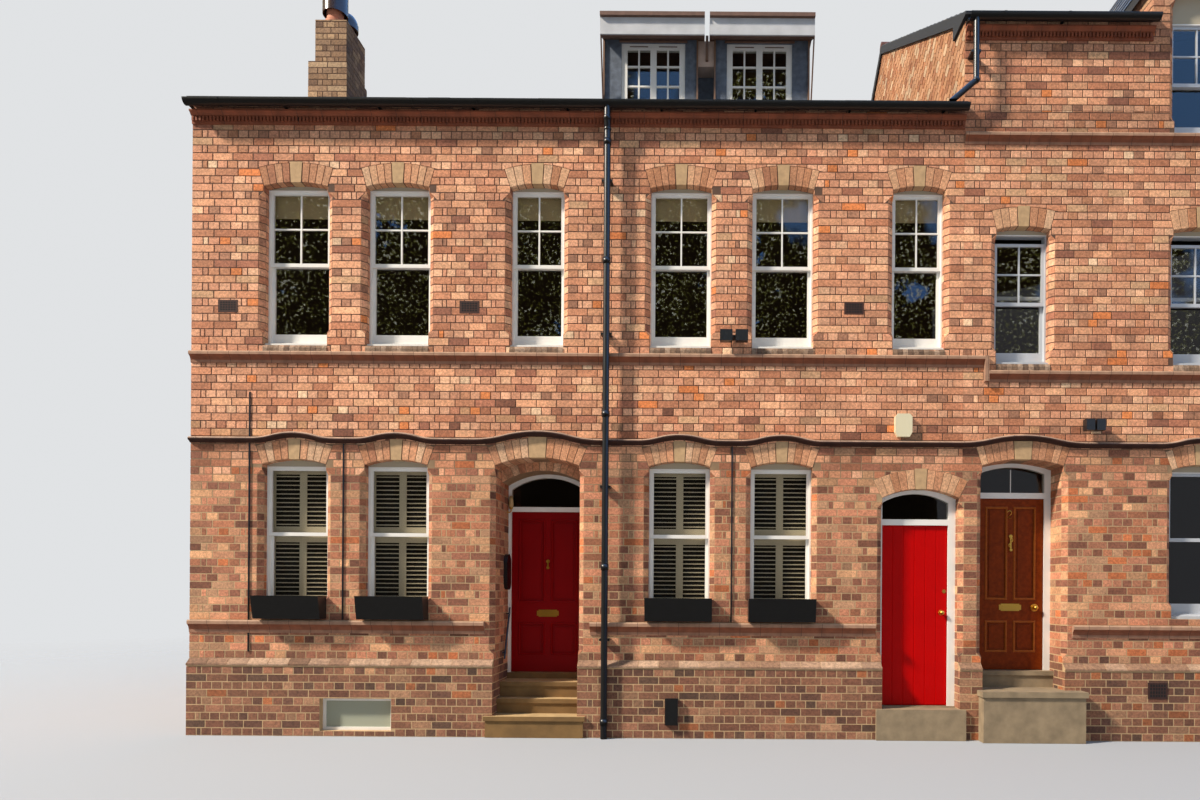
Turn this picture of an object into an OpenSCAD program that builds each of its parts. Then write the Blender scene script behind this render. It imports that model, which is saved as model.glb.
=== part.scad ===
// Terraced brick row of three houses, built from the lowest ground point up.
// Millimetres. X runs along the front, Y goes into the building, Z is up.
// The origin is the foot of the front wall face at mid length.

/* [Row] */
// Length of the row between the outer faces of its end party walls
row_l = 12940; // [12800:10:13100]
// Depth from the front face to the back face
row_d = 8600; // [8300:10:8900]
// Thickness of the front and back walls
front_t = 350; // [340:5:360]
// Thickness of a party wall
party_t = 230; // [220:5:235]
// Depth of the outer brick leaf, which is the window reveal
face_t = 112; // [105:1:120]
// Width of the wall chamfers beside the openings
chamfer = 55; // [40:1:60]
// Depth of an arch ring on the face
ring_d = 225; // [200:5:235]

/* [Levels] */
// Top of the plinth
plinth_z = 900; // [860:5:940]
// Wall top of the two low houses
eave_z = 7400; // [7350:5:7450]
// Wall top of the tall house
tall_eave_z = 8450; // [8400:5:8500]
// Ground floor of the left house
floor_left = 685; // [680:5:690]
// Ground floor of the middle house
floor_mid = 372; // [365:1:380]
// Ground floor of the tall house
floor_tall = 785; // [780:5:790]
// First floor of the two low houses
first_z = 3850; // [3800:5:3900]
// First floor of the tall house
tall_first_z = 3750; // [3720:5:3780]
// Thickness of an upper floor
floor_t = 230; // [200:5:250]

/* [Roofs] */
// Slope of the low roof in degrees
low_pitch = 26.5; // [25:0.5:28]
// Slope of the tall roof in degrees
tall_pitch = 30.5; // [29:0.5:32]
// Upright thickness of a roof slope
roof_t = 130; // [110:5:150]
// How far a roof runs past the wall face
overhang = 120; // [100:5:140]

/* [Doors] */
// Thickness of a door leaf
leaf_t = 45; // [40:1:50]
// Gap between the leaf edge and the hinge post
hinge_gap = 6; // [5.5:0.5:8]
// Gap between the leaf edge and the latch post
latch_gap = 9; // [8:0.5:12]
// Gap over, under and in front of a leaf
leaf_gap = 6; // [5.5:0.5:8]
// Radius of a hinge knuckle
knuckle_r = 6; // [5.5:0.5:7]
// Radius of a hinge pin
pin_r = 3; // [2.5:0.1:3.5]

/* [Hidden] */
$fn = 48;

// joint left between two solids along a curve or a slope
bed = 0.6;

brick = "#B9785A";
pale_brick = "#D08860";
cream_stone = "#E3CF9F";
brown_terracotta = "#7A3B2A";
slate = "#3E4248";
iron_black = "#17181A";
white_paint = "#E8E6E0";
brass = "#B08A3C";

x_l = -row_l / 2;
x_r = row_l / 2;
y_in = front_t;
y_out = row_d - front_t;
y_ridge = row_d / 2;

// party wall faces: between the left and middle house, and beside the tall house
wall_a = [-1762, -1762 + party_t];
wall_b = [2838 - party_t, 2838];
step_x = wall_b[0];

// roof heights: the top surface passes this height over the front wall face
low_face_z = eave_z + 80;
tall_face_z = tall_eave_z + 90;
low_ridge_z = low_face_z + y_ridge * tan(low_pitch);
tall_ridge_z = tall_face_z + y_ridge * tan(tall_pitch);

// windows: centre, width, sill, springing, crown, sash top, meeting rail
upper = [4580, 6455, 6505, 6442, 5575];
lower = [1430, 3185, 3248, 3160, 2370];
tall_mid = [4415, 6003, 6042, 5970, 5250];
tall_top = [7130, 8770, 8840, 8490, 7790];
tall_back_top = [7130, 8000, 8060, 7960, 7560];
function win(cx, w, lv) = [cx, w, lv[0], lv[1], lv[2], lv[3], lv[4]];

upper_x = [-5254, -4055, -2415, -721, 481, 2081];
upper_w = [753, 742, 633, 724, 726, 615];
paired = [0, 1, 3, 4];
front_upper = [for (i = [0:5]) win(upper_x[i], upper_w[i], upper)];
front_lower = [for (i = paired) win(upper_x[i], upper_w[i], lower)];
gable_win_x = 5413;
gable_win_w = 680;
stair_win_x = 3308;
stair_win_w = 637;
front_tall = [win(stair_win_x, stair_win_w, tall_mid), win(gable_win_x, gable_win_w, tall_mid),
              win(gable_win_x, gable_win_w, tall_top), win(gable_win_x, gable_win_w, lower)];
front_windows = concat(front_upper, front_lower, front_tall);
back_w = 740;
back_low_x = [-5250, -2900, -700, 1500];
back_tall_x = [3900, 5300];
back_windows = concat([for (x = concat(back_low_x, back_tall_x)) win(x, back_w, lower)],
                      [for (x = back_low_x) win(x, back_w, upper)],
                      [for (x = back_tall_x) win(x, back_w, tall_mid)],
                      [for (x = back_tall_x) win(x, back_w, tall_back_top)]);

// doorways: centre, width, foot, springing, crown
door_l = [-2395, 994, 0, 3188, 3286];
door_o = [2118.5, 907, 0, 2836, 2944];
door_p = [3318.5, 961, 0, 3223, 3302];
front_doors = [door_l, door_o, door_p];

// sash frames: rebate behind the face leaf, frame depth, face width inside the reveal
win_rebate = 45;
box_d = 100;
box_face = 20;
sill_h = 62;
sill_nose = 34;
sash_d = 34;
stile = 34;
meeting_rail = 42;
bottom_rail = 118;
// how far the upper sashes on the middle floor of the tall house stand open
tall_drop = 85;
// height of the plain jamb between a sill and the foot of its chamfers
jamb_foot = 145;

// door frames: stop depth, rebate, and each door's frame face, clear x range and levels
stop_d = 25;
door_rebate = 16;
frame_d = stop_d + leaf_gap + leaf_t;
// y of the frame face, clear x from, clear x to, threshold top, leaf top, transom top
set_l = [680, -2852, -1933, floor_left, 2708, 2768];
set_o = [130, 1697, 2484, floor_mid, 2525, 2595];
set_p = [345, 2925, 3722, floor_tall, 2876, 2945];
// inner porch arch of the left house: springing and crown
porch_arch = [3030, 3180];
porch_end = set_l[0] + frame_d + 25;
nib_end = set_p[0] + frame_d + 25;
cheek_t = 230;
porch_x0 = door_l[0] - door_l[1] / 2 - cheek_t;
nib_x1 = door_p[0] + door_p[1] / 2 + cheek_t;

// box dormers: x range of the body, x range of the roof, x range of the window
dormers = [[-1753, -561, -1777, -457, -1537, -709],
           [-312, 887, -394, 933, -166, 683]];
dormer_y = 1000;
dormer_wall_t = 100;
dormer_sill_z = 8030;
dormer_head_z = dormer_sill_z + 820;
dormer_soffit_z = dormer_head_z + 40;
dormer_top_z = dormer_soffit_z + 110;
dormer_edge_y = 700;
dormer_drop = 140;
fascia_t = 22;
roof_edge_t = 48;
// how far the dormer roof runs past its fascia
roof_nose = 45;
// foot of the dormer timbers inside the roof, and how far back the cheeks run
dormer_foot_z = 7700;
dormer_back_y = 3200;

// gabled wall dormer of the tall house
gable_x = [4812, 6012];
gable_shoulder_z = tall_eave_z + 510;
gable_apex_z = gable_shoulder_z + 1100;
gable_mid = (gable_x[0] + gable_x[1]) / 2;

// eaves gutters
gutter_r = 62;
gutter_y = -152;
pipe_r = 38;
pipe_x = -1580;
pipe_y = -114;

module along_x(x0, x1) {
  translate([x0, 0, 0]) rotate([90, 0, 90]) linear_extrude(x1 - x0) children();
}

module along_y(y0, y1) {
  translate([0, y1, 0]) rotate([90, 0, 0]) linear_extrude(y1 - y0) children();
}

module box(x0, x1, y0, y1, z0, z1) {
  translate([x0, y0, z0]) cube([x1 - x0, y1 - y0, z1 - z0]);
}

module to_back() {
  translate([0, row_d, 0]) mirror([0, 1, 0]) children();
}

// Arches: radius from half width and rise, opening outline, ring and keystone
function arc_r(w, rise) = (w * w / 4 + rise * rise) / (2 * rise);
function head_r(o) = arc_r(o[1], o[4] - o[3]);

// a disc for the arc, and a block under it down past the sill
module under_arc_2d(o, r) {
  wide = o[1] + 500;
  translate([o[0], o[4] - head_r(o)]) circle(r, $fn = 180);
  translate([o[0] - wide / 2, o[2] - 20]) square([wide, o[3] - o[2] + 12]);
}

module opening_2d(o) {
  intersection() {
    translate([o[0] - o[1] / 2, o[2]]) square([o[1], o[4] - o[2] + 20]);
    under_arc_2d(o, head_r(o));
  }
}

module ring_2d(o) {
  r = head_r(o);
  a = asin(o[1] / 2 / r);
  reach = (r + ring_d) / cos(a) + 20;
  lift = bed / sin(a);
  translate([o[0], o[4] - r]) intersection() {
    difference() {
      circle(r + ring_d - bed, $fn = 180);
      circle(r, $fn = 180);
    }
    translate([0, lift])
      polygon([[0, 0], [-reach * sin(a), reach * cos(a)], [reach * sin(a), reach * cos(a)]]);
  }
}

function key_top(o) = o[1] > 950 ? 215 : 145;

// lower edge of the label course, and its waves: centre, half width, rise
label_z = 3430;
waves = [[upper_x[0], 480, 66], [upper_x[1], 480, 66], [door_l[0], 740, 98],
         [upper_x[3], 480, 66], [upper_x[4], 480, 66], [door_p[0], 740, 86],
         [gable_win_x, 500, 66]];

// a keystone stands over its ring, or stops under the wave that passes over it
key_over = 12;
key_clear = 5;
function wave_over(o) = [for (w = waves) if (abs(w[0] - o[0]) < 1 && o[4] < label_z) w[2]];
function key_h(o) = len(wave_over(o)) == 0 ? ring_d + key_over
                  : min(ring_d + key_over, label_z + wave_over(o)[0] - key_clear - o[4]);

module key_2d(o) {
  top = key_top(o) / 2;
  foot = top - 14;
  h = key_h(o);
  translate([o[0], o[4]]) polygon([[-foot, -5], [foot, -5], [top, h], [-top, h]]);
}

// What the face leaf leaves open: the window, its arch ring and keystone
module arch_cut_2d(o, keyed) {
  r = head_r(o);
  a = asin(o[1] / 2 / r);
  reach = (r + ring_d) / cos(a) + 20;
  hub = o[4] - r;
  intersection() {
    polygon([[o[0] - o[1] / 2, o[2]], [o[0] + o[1] / 2, o[2]], [o[0] + o[1] / 2, o[3]],
             [o[0] + reach * sin(a), hub + reach * cos(a)],
             [o[0] - reach * sin(a), hub + reach * cos(a)], [o[0] - o[1] / 2, o[3]]]);
    under_arc_2d(o, r + ring_d);
  }
  if (keyed) key_2d(o);
}

// Chamfer cutter with sloped stops on one arris of an opening
module jamb_cutter(x, side, z0, z1) {
  d = chamfer / sqrt(2);
  translate([x, 0, 0]) rotate([0, 0, side > 0 ? 45 : 135])
    translate([0, chamfer, 0]) rotate([90, 0, 0]) linear_extrude(2 * chamfer)
      polygon([[-10, z0 - 10 * sqrt(2)], [d, z0 + chamfer], [d, z1 - chamfer],
               [-10, z1 + 10 * sqrt(2)]]);
}

module jamb_cutters(o, foot) {
  jamb_cutter(o[0] - o[1] / 2, -1, foot, o[3] - 60);
  jamb_cutter(o[0] + o[1] / 2, 1, foot, o[3] - 60);
}

module front_outline_2d() {
  polygon([[x_l, 0], [x_r, 0], [x_r, tall_eave_z], [gable_x[1], tall_eave_z],
           [gable_x[1], gable_shoulder_z], [gable_mid, gable_apex_z],
           [gable_x[0], gable_shoulder_z], [gable_x[0], tall_eave_z], [step_x, tall_eave_z],
           [step_x, eave_z], [x_l, eave_z]]);
}

cellar_x = [-4906, -4073];
cellar_z = [60, 440];

module front_face_2d() {
  difference() {
    front_outline_2d();
    for (o = front_windows) arch_cut_2d(o, true);
    for (o = front_doors) arch_cut_2d(o, true);
    translate([cellar_x[0], cellar_z[0]])
      square([cellar_x[1] - cellar_x[0], cellar_z[1] - cellar_z[0]]);
  }
}

module inner_opening_2d(o) {
  translate([o[0] - o[1] / 2 - win_rebate, o[2]])
    square([o[1] + 2 * win_rebate, o[4] + win_rebate - o[2]]);
}

module front_inner_2d() {
  difference() {
    front_outline_2d();
    for (o = front_windows) inner_opening_2d(o);
    for (o = front_doors) opening_2d(o);
    translate([cellar_x[0], cellar_z[0]])
      square([cellar_x[1] - cellar_x[0], cellar_z[1] - cellar_z[0]]);
  }
}

// A piece of the front wall between two x and two z limits
module front_piece(x0, x1, z0, z1) {
  difference() {
    union() {
      along_y(0, face_t) intersection() {
        front_face_2d();
        translate([x0, z0]) square([x1 - x0, z1 - z0]);
      }
      along_y(face_t, front_t) intersection() {
        front_inner_2d();
        translate([x0, z0]) square([x1 - x0, z1 - z0]);
      }
    }
    for (o = front_windows)
      if (o[0] > x0 && o[0] < x1) jamb_cutters(o, o[2] + jamb_foot);
    for (o = front_doors) {
      if (abs(o[0] - o[1] / 2 - x1) < 1) jamb_cutter(x1, -1, plinth_z + 60, o[3] - 60);
      if (abs(o[0] + o[1] / 2 - x0) < 1) jamb_cutter(x0, 1, plinth_z + 60, o[3] - 60);
    }
  }
}

function left_of(o) = o[0] - o[1] / 2;
function right_of(o) = o[0] + o[1] / 2;

module front_walls() {
  color(brick) {
    front_piece(x_l, left_of(door_l), 0, eave_z);
    front_piece(right_of(door_l), left_of(door_o), 0, eave_z);
    front_piece(right_of(door_o), left_of(door_p), 0, tall_eave_z);
    front_piece(right_of(door_p), x_r, 0, tall_eave_z);
  }
}

module door_head_walls() {
  color(brick) {
    front_piece(left_of(door_l), right_of(door_l), door_l[3], eave_z);
    front_piece(left_of(door_o), right_of(door_o), door_o[3], eave_z);
    front_piece(left_of(door_p), right_of(door_p), door_p[3], tall_eave_z);
    porch_head();
    nib_head();
  }
}

// Brickwork over the porch door, with its lower inner arch
module porch_head() {
  o = [door_l[0], door_l[1], 0, porch_arch[0], porch_arch[1]];
  top = first_z - floor_t;
  along_y(front_t, porch_end) difference() {
    translate([porch_x0, porch_arch[0]])
      square([wall_a[0] - porch_x0, top - porch_arch[0]]);
    opening_2d(o);
  }
}

module nib_head() {
  top = tall_first_z - floor_t;
  along_y(front_t, nib_end) difference() {
    translate([wall_b[1], door_p[3]]) square([nib_x1 - wall_b[1], top - door_p[3]]);
    opening_2d(door_p);
  }
}

module porch_cheeks() {
  color(brick) {
    box(porch_x0, left_of(door_l), front_t, porch_end, 0, porch_arch[0]);
    box(right_of(door_l), wall_a[0], front_t, porch_end, 0, porch_arch[0]);
    box(right_of(door_p), nib_x1, front_t, nib_end, 0, door_p[3]);
  }
}

// The unseen back repeats the storeys with plain arched windows
module back_outline_2d() {
  polygon([[x_l, 0], [x_r, 0], [x_r, tall_eave_z], [step_x, tall_eave_z], [step_x, eave_z],
           [x_l, eave_z]]);
}

module back_wall() {
  color(brick) to_back() {
    along_y(0, face_t) difference() {
      back_outline_2d();
      for (o = back_windows) arch_cut_2d(o, false);
    }
    along_y(face_t, front_t) difference() {
      back_outline_2d();
      for (o = back_windows) inner_opening_2d(o);
    }
  }
}

// Party walls run up to the underside of the roof slopes
module gable_slab(x0, x1, face_z, pitch) {
  foot = face_z - roof_t + y_in * tan(pitch);
  top = face_z - roof_t + y_ridge * tan(pitch);
  along_x(x0, x1)
    polygon([[y_in, 0], [y_out, 0], [y_out, foot], [y_ridge, top], [y_in, foot]]);
}

stack_y = [2740, 3460];
stack_foot_z = 8560;

module party_walls() {
  color(brick) {
    difference() {
      gable_slab(x_l, x_l + party_t, low_face_z, low_pitch);
      box(x_l - 1, x_l + party_t + 1, stack_y[0], stack_y[1], stack_foot_z, 12000);
    }
    gable_slab(wall_a[0], wall_a[1], low_face_z, low_pitch);
    gable_slab(wall_b[0], wall_b[1], tall_face_z, tall_pitch);
    gable_slab(x_r - party_t, x_r, tall_face_z, tall_pitch);
  }
}

slab_t = 150;
second_z = 6450;
attic_z = 7150;

module floors() {
  left = [x_l + party_t, wall_a[0]];
  mid = [wall_a[1], wall_b[0]];
  tall = [wall_b[1], x_r - party_t];
  color("#8A7050") {
    difference() {
      box(left[0], left[1], y_in, y_out, floor_left - slab_t, floor_left);
      box(porch_x0, left[1] + 1, y_in - 1, porch_end, 0, first_z);
    }
    box(mid[0], mid[1], y_in, y_out, floor_mid - slab_t, floor_mid);
    difference() {
      box(tall[0], tall[1], y_in, y_out, floor_tall - slab_t, floor_tall);
      box(tall[0] - 1, nib_x1, y_in - 1, nib_end, 0, first_z);
    }
    box(left[0], left[1], y_in, y_out, first_z - floor_t, first_z);
    box(mid[0], mid[1], y_in, y_out, first_z - floor_t, first_z);
    box(tall[0], tall[1], y_in, y_out, tall_first_z - floor_t, tall_first_z);
    box(left[0], left[1], y_in, y_out, attic_z - floor_t, attic_z);
    box(mid[0], mid[1], y_in, y_out, attic_z - floor_t, attic_z);
    box(tall[0], tall[1], y_in, y_out, second_z - floor_t, second_z);
  }
}

module brick_arches() {
  color(pale_brick) {
    for (o = concat(front_windows, front_doors))
      along_y(0, face_t) difference() {
        ring_2d(o);
        key_2d(o);
      }
    to_back() for (o = back_windows) along_y(0, face_t) ring_2d(o);
  }
}

module keystones() {
  color(cream_stone)
    for (o = concat(front_windows, front_doors)) along_y(-6, face_t) key_2d(o);
}

// Plinth with a splayed weathering course, stopped at each doorway
plinth_proj = 60;
plinth_lip = 12;
module plinth_run(x0, x1) {
  along_x(x0, x1)
    polygon([[0, 0], [0, plinth_z], [2 - plinth_proj, plinth_z - 52],
             [-plinth_proj - plinth_lip, plinth_z - 60], [-plinth_proj - plinth_lip, plinth_z - 78],
             [-plinth_proj, plinth_z - 86], [-plinth_proj, 0]]);
}

module plinth() {
  color(brick) difference() {
    union() {
      plinth_run(x_l, left_of(door_l));
      plinth_run(right_of(door_l), left_of(door_o));
      plinth_run(right_of(door_o), left_of(door_p));
      plinth_run(right_of(door_p), x_r);
    }
    box(cellar_x[0], cellar_x[1], -100, 1, cellar_z[0], cellar_z[1]);
  }
}

// Moulded string under a lip: height up, projection out
module string_2d(h, p) {
  polygon([[0, 0], [-p * 0.24, 0], [-p * 0.3, h * 0.24], [-p * 0.46, h * 0.46],
           [-p * 0.72, h * 0.6], [-p * 0.84, h * 0.66], [-p, h * 0.68], [-p, h * 0.9],
           [-p * 0.86, h], [0, h]]);
}

module string_run(x0, x1, top, h, p) {
  along_x(x0, x1) translate([0, top - h]) string_2d(h, p);
}

sill_string_z = 1350;
sill_string_h = 150;
sill_string_p = 60;
module lower_sill_string() {
  color(brown_terracotta) {
    string_run(x_l, left_of(door_l) - 108, sill_string_z, sill_string_h, sill_string_p);
    string_run(right_of(door_l) + 138, left_of(door_o) - 75, sill_string_z, sill_string_h,
               sill_string_p);
    string_run(right_of(door_p) + 107, x_r, sill_string_z, sill_string_h, sill_string_p);
  }
}

upper_string_z = 4500;
tall_string_z = 4330;
second_string_z = 7120;
string_h = 130;
string_p = 65;
string_step = [2847, 2894];

module upper_sill_strings() {
  color(brown_terracotta) {
    string_run(x_l, string_step[0], upper_string_z, string_h, string_p);
    box(string_step[0], string_step[1], -string_p, 0, tall_string_z - string_h,
        upper_string_z);
    string_run(string_step[1], x_r, tall_string_z, string_h, string_p);
    string_run(step_x, x_r, second_string_z, string_h, string_p);
  }
}

// Label course: one moulded profile swept along flats and tangent arcs over the arches
// profile across the course, a roll over a cavetto: up from its lower edge, out of the wall
label_profile = [[0, 0], [0, 20], [6, 30], [14, 36], [19, 40], [21, 50], [26, 58], [33, 63],
                 [41, 66], [50, 65], [58, 60], [64, 52], [68, 41], [70, 28], [70, 0]];
function up_pts(r) = [for (q = label_profile) [r + q[0], q[1]]];
function down_pts(r) = [for (q = label_profile) [r - q[0], q[1]]];

module swept_arc(cx, cz, start, turn, pts) {
  translate([cx, 0, cz]) rotate([90, 0, 0]) rotate([0, 0, start])
    rotate_extrude(angle = turn, $fn = 240) polygon(pts);
}

// the lengths meet at fine joints
label_joint = bed;

module label_wave(w) {
  turn = 2 * atan(w[2] / w[1]);
  r = w[1] / (2 * sin(turn));
  slit = label_joint / r * 180 / PI;
  swept_arc(w[0], label_z + w[2] - r, 90 - turn, 2 * turn, up_pts(r));
  swept_arc(w[0] - w[1], label_z + r, 270, turn - slit, down_pts(r));
  swept_arc(w[0] + w[1], label_z + r, 270 - turn + slit, turn - slit, down_pts(r));
}

module label_flat(x0, x1) {
  along_x(x0 + label_joint, x1 - label_joint)
    polygon([for (q = label_profile) [-q[1], label_z + q[0]]]);
}

module label_course() {
  n = len(waves);
  color(brown_terracotta) {
    for (w = waves) label_wave(w);
    for (i = [0:n - 2])
      label_flat(waves[i][0] + waves[i][1], waves[i + 1][0] - waves[i + 1][1]);
    label_flat(x_l, waves[0][0] - waves[0][1]);
    label_flat(waves[n - 1][0] + waves[n - 1][1], x_r);
  }
}

// Eaves: a dentil band under a moulded course, front and back
module cornice_run(x0, x1, top) {
  along_x(x0, x1)
    polygon([[0, top - 230], [-22, top - 230], [-22, top - 150], [-46, top - 140],
             [-62, top - 120], [-82, top - 108], [-82, top - 90], [0, top - 90]]);
}

module eaves_cornice() {
  color("#8E3F1C") {
    cornice_run(x_l, step_x, eave_z);
    cornice_run(step_x, gable_x[0], tall_eave_z);
    cornice_run(gable_x[1], x_r, tall_eave_z);
    to_back() {
      cornice_run(x_l, step_x, eave_z);
      cornice_run(step_x, x_r, tall_eave_z);
    }
  }
}

module gutter_run(x0, x1, z) {
  along_x(x0, x1) difference() {
    translate([gutter_y, z]) circle(gutter_r);
    translate([gutter_y, z]) circle(gutter_r - 5);
    translate([gutter_y - 100, z]) square([200, 100]);
  }
  for (x = [x0:1100:x1 - 40])
    box(x, x + 24, gutter_y + gutter_r - 3, 0, z - 30, z - 8);
}

low_gutter_z = eave_z - 28;
tall_gutter_z = tall_eave_z - 28;

module gutters() {
  color(iron_black) {
    gutter_run(x_l, step_x, low_gutter_z);
    gutter_run(step_x, gable_x[0], tall_gutter_z);
    gutter_run(gable_x[1], x_r, tall_gutter_z);
    to_back() {
      gutter_run(x_l, step_x, low_gutter_z);
      gutter_run(step_x, x_r, tall_gutter_z);
    }
  }
}

module rod(a, b, r) {
  v = b - a;
  l = norm(v);
  translate(a) rotate([0, acos(v[2] / l), atan2(v[1], v[0])]) cylinder(h = l, r = r);
}

module pipe_bracket(x, z) {
  box(x - 60, x + 60, pipe_y, 0, z - 14, z + 14);
}

module front_pipe(x, z_gutter, foot) {
  difference() {
    union() {
      rod([x, gutter_y, z_gutter - 180], [x, gutter_y, z_gutter - 20], pipe_r);
      translate([x, gutter_y, z_gutter - 180]) sphere(pipe_r + 6);
      rod([x, gutter_y, z_gutter - 180], [x, pipe_y, z_gutter - 290], pipe_r);
      translate([x, pipe_y, z_gutter - 290]) sphere(pipe_r + 6);
      rod([x, pipe_y, foot], [x, pipe_y, z_gutter - 290], pipe_r);
      for (z = [plinth_z + 250:1780:z_gutter - 500]) pipe_bracket(x, z);
    }
    along_x(x - 200, x + 200) translate([gutter_y, z_gutter]) circle(gutter_r);
  }
}

module downpipes() {
  sx = step_x + 80;
  color(iron_black) {
    front_pipe(pipe_x, low_gutter_z, 0);
    difference() {
      union() {
        rod([sx, gutter_y, 7660], [sx, gutter_y, tall_gutter_z - 20], 34);
        translate([sx, gutter_y, 7660]) sphere(40);
        rod([sx, gutter_y, 7660], [step_x - 230, gutter_y, low_gutter_z + 20], 34);
        box(sx - 55, sx + 55, gutter_y, 0, 7990, 8016);
      }
      along_x(sx - 400, sx + 200) translate([gutter_y, tall_gutter_z]) circle(gutter_r);
      along_x(sx - 400, sx + 200) translate([gutter_y, low_gutter_z]) circle(gutter_r);
      along_x(sx - 400, sx + 200) translate([gutter_y - 300, low_gutter_z - 200])
        square([600, 200]);
    }
    to_back() {
      front_pipe(pipe_x, low_gutter_z, 0);
      front_pipe(x_r - 400, tall_gutter_z, 0);
    }
  }
}

// Roof slopes: front slope outline in y and z, seated on the wall head
module slope_2d(face_z, pitch, head_z) {
  t = tan(pitch);
  polygon([[-overhang, face_z - overhang * t - 22], [-overhang, face_z - overhang * t],
           [y_ridge, face_z + y_ridge * t], [y_ridge, face_z + y_ridge * t - roof_t],
           [y_in, face_z + y_in * t - roof_t], [y_in, head_z], [0, head_z]]);
}

module roof_pair(x0, x1, face_z, pitch, head_z) {
  along_x(x0, x1) slope_2d(face_z, pitch, head_z);
  to_back() along_x(x0, x1) slope_2d(face_z, pitch, head_z);
}

module under_low_roof() {
  along_x(x_l - 200, step_x + 200)
    polygon([[-400, 0], [y_ridge + 400, 0],
             [y_ridge + 400, low_face_z + bed + (y_ridge + 400) * tan(low_pitch)],
             [-400, low_face_z + bed - 400 * tan(low_pitch)]]);
}

module under_tall_roof() {
  along_x(step_x, x_r + 200)
    polygon([[-400, 0], [y_ridge, 0], [y_ridge, tall_ridge_z + bed],
             [-400, tall_face_z + bed - 400 * tan(tall_pitch)]]);
}

stack_x = [x_l, x_l + 583];

module low_roof() {
  color(slate) difference() {
    roof_pair(x_l, step_x, low_face_z, low_pitch, eave_z);
    for (d = dormers)
      box(d[0] + dormer_wall_t, d[1] - dormer_wall_t, dormer_y + dormer_wall_t, 2500, attic_z,
          low_ridge_z + 100);
    box(stack_x[0] - 1, stack_x[1], stack_y[0], stack_y[1], attic_z, low_ridge_z + 100);
  }
}

module tall_roof() {
  color(slate) difference() {
    roof_pair(step_x - 40, x_r, tall_face_z, tall_pitch, tall_eave_z);
    box(gable_x[0], gable_x[1], -overhang - 10, front_t, tall_eave_z - 500, tall_ridge_z);
    box(gable_x[0] + party_t, gable_x[1] - party_t, front_t - 1, 1900, tall_eave_z - 500,
        tall_ridge_z);
  }
}

module ridge_tiles() {
  color("#5A3026") {
    difference() {
      along_x(x_l, step_x) translate([y_ridge, low_ridge_z - 30]) circle(90);
      under_both_slopes(low_ridge_z, low_pitch);
    }
    difference() {
      along_x(step_x - 40, x_r) translate([y_ridge, tall_ridge_z - 30]) circle(90);
      under_both_slopes(tall_ridge_z, tall_pitch);
    }
  }
}

module under_both_slopes(z, pitch) {
  along_x(x_l - 10, x_r + 10)
    polygon([[y_ridge, z], [y_ridge - 400, z - 400 * tan(pitch)], [y_ridge - 400, z - 900],
             [y_ridge + 400, z - 900], [y_ridge + 400, z - 400 * tan(pitch)]]);
}

// Box dormers of the middle house, with the gap between them closed by a clad infill
infill_y = dormer_y + 250;
module dormer_walls() {
  color("#4A5468") difference() {
    union() {
      for (d = dormers) {
        box(d[0], d[1], dormer_y, dormer_y + dormer_wall_t, dormer_foot_z, dormer_soffit_z);
        box(d[0], d[0] + dormer_wall_t, dormer_y + dormer_wall_t, dormer_back_y, dormer_foot_z,
            dormer_soffit_z);
        box(d[1] - dormer_wall_t, d[1], dormer_y + dormer_wall_t, dormer_back_y, dormer_foot_z,
            dormer_soffit_z);
      }
      box(dormers[0][1], dormers[1][0], infill_y, infill_y + dormer_wall_t, dormer_foot_z,
          dormer_soffit_z);
      box(dormers[0][1], dormers[1][0], infill_y + dormer_wall_t, dormer_back_y,
          dormer_soffit_z - 40, dormer_soffit_z);
    }
    for (d = dormers)
      box(d[4], d[5], dormer_y - 1, dormer_y + dormer_wall_t + 1, dormer_sill_z,
          dormer_head_z);
    under_low_roof();
  }
}

module dormer_roofs() {
  color("#5B4636") difference() {
    for (d = dormers)
      along_x(d[2], d[3])
        polygon([[dormer_edge_y, dormer_soffit_z - dormer_drop],
                 [dormer_edge_y, dormer_top_z - roof_edge_t],
                 [dormer_edge_y - fascia_t - roof_nose, dormer_top_z - roof_edge_t],
                 [dormer_edge_y - fascia_t - roof_nose, dormer_top_z], [3400, dormer_top_z],
                 [3400, dormer_soffit_z], [dormer_y, dormer_soffit_z],
                 [dormer_edge_y + 40, dormer_soffit_z - dormer_drop]]);
    under_low_roof();
  }
}

board_w = 22;
module corner_board_2d() {
  polygon([[dormer_y - 30, dormer_foot_z], [dormer_y - 30, dormer_soffit_z - 17],
           [dormer_y, dormer_soffit_z], [dormer_y + 20, dormer_soffit_z],
           [dormer_y + 20, dormer_foot_z]]);
}

// Painted fascias, corner boards down to the slates, and the boxing with its spout between
module dormer_fascias() {
  color("#D8D6D0") difference() {
    union() {
      for (d = dormers) {
        box(d[2], d[3], dormer_edge_y - fascia_t, dormer_edge_y,
            dormer_soffit_z - dormer_drop - 8, dormer_top_z - roof_edge_t);
        along_x(d[0] - board_w, d[0]) corner_board_2d();
        along_x(d[1], d[1] + board_w) corner_board_2d();
      }
      box(dormers[0][1] + board_w, dormers[1][0] - board_w, dormer_y + 20, infill_y,
          dormer_soffit_z - 330, dormer_soffit_z);
      box(dormers[0][3] + 14, dormers[1][2] - 14, dormer_y - 16, dormer_y + 20,
          dormer_soffit_z - 270, dormer_soffit_z + 50);
    }
    under_low_roof();
  }
}

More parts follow.
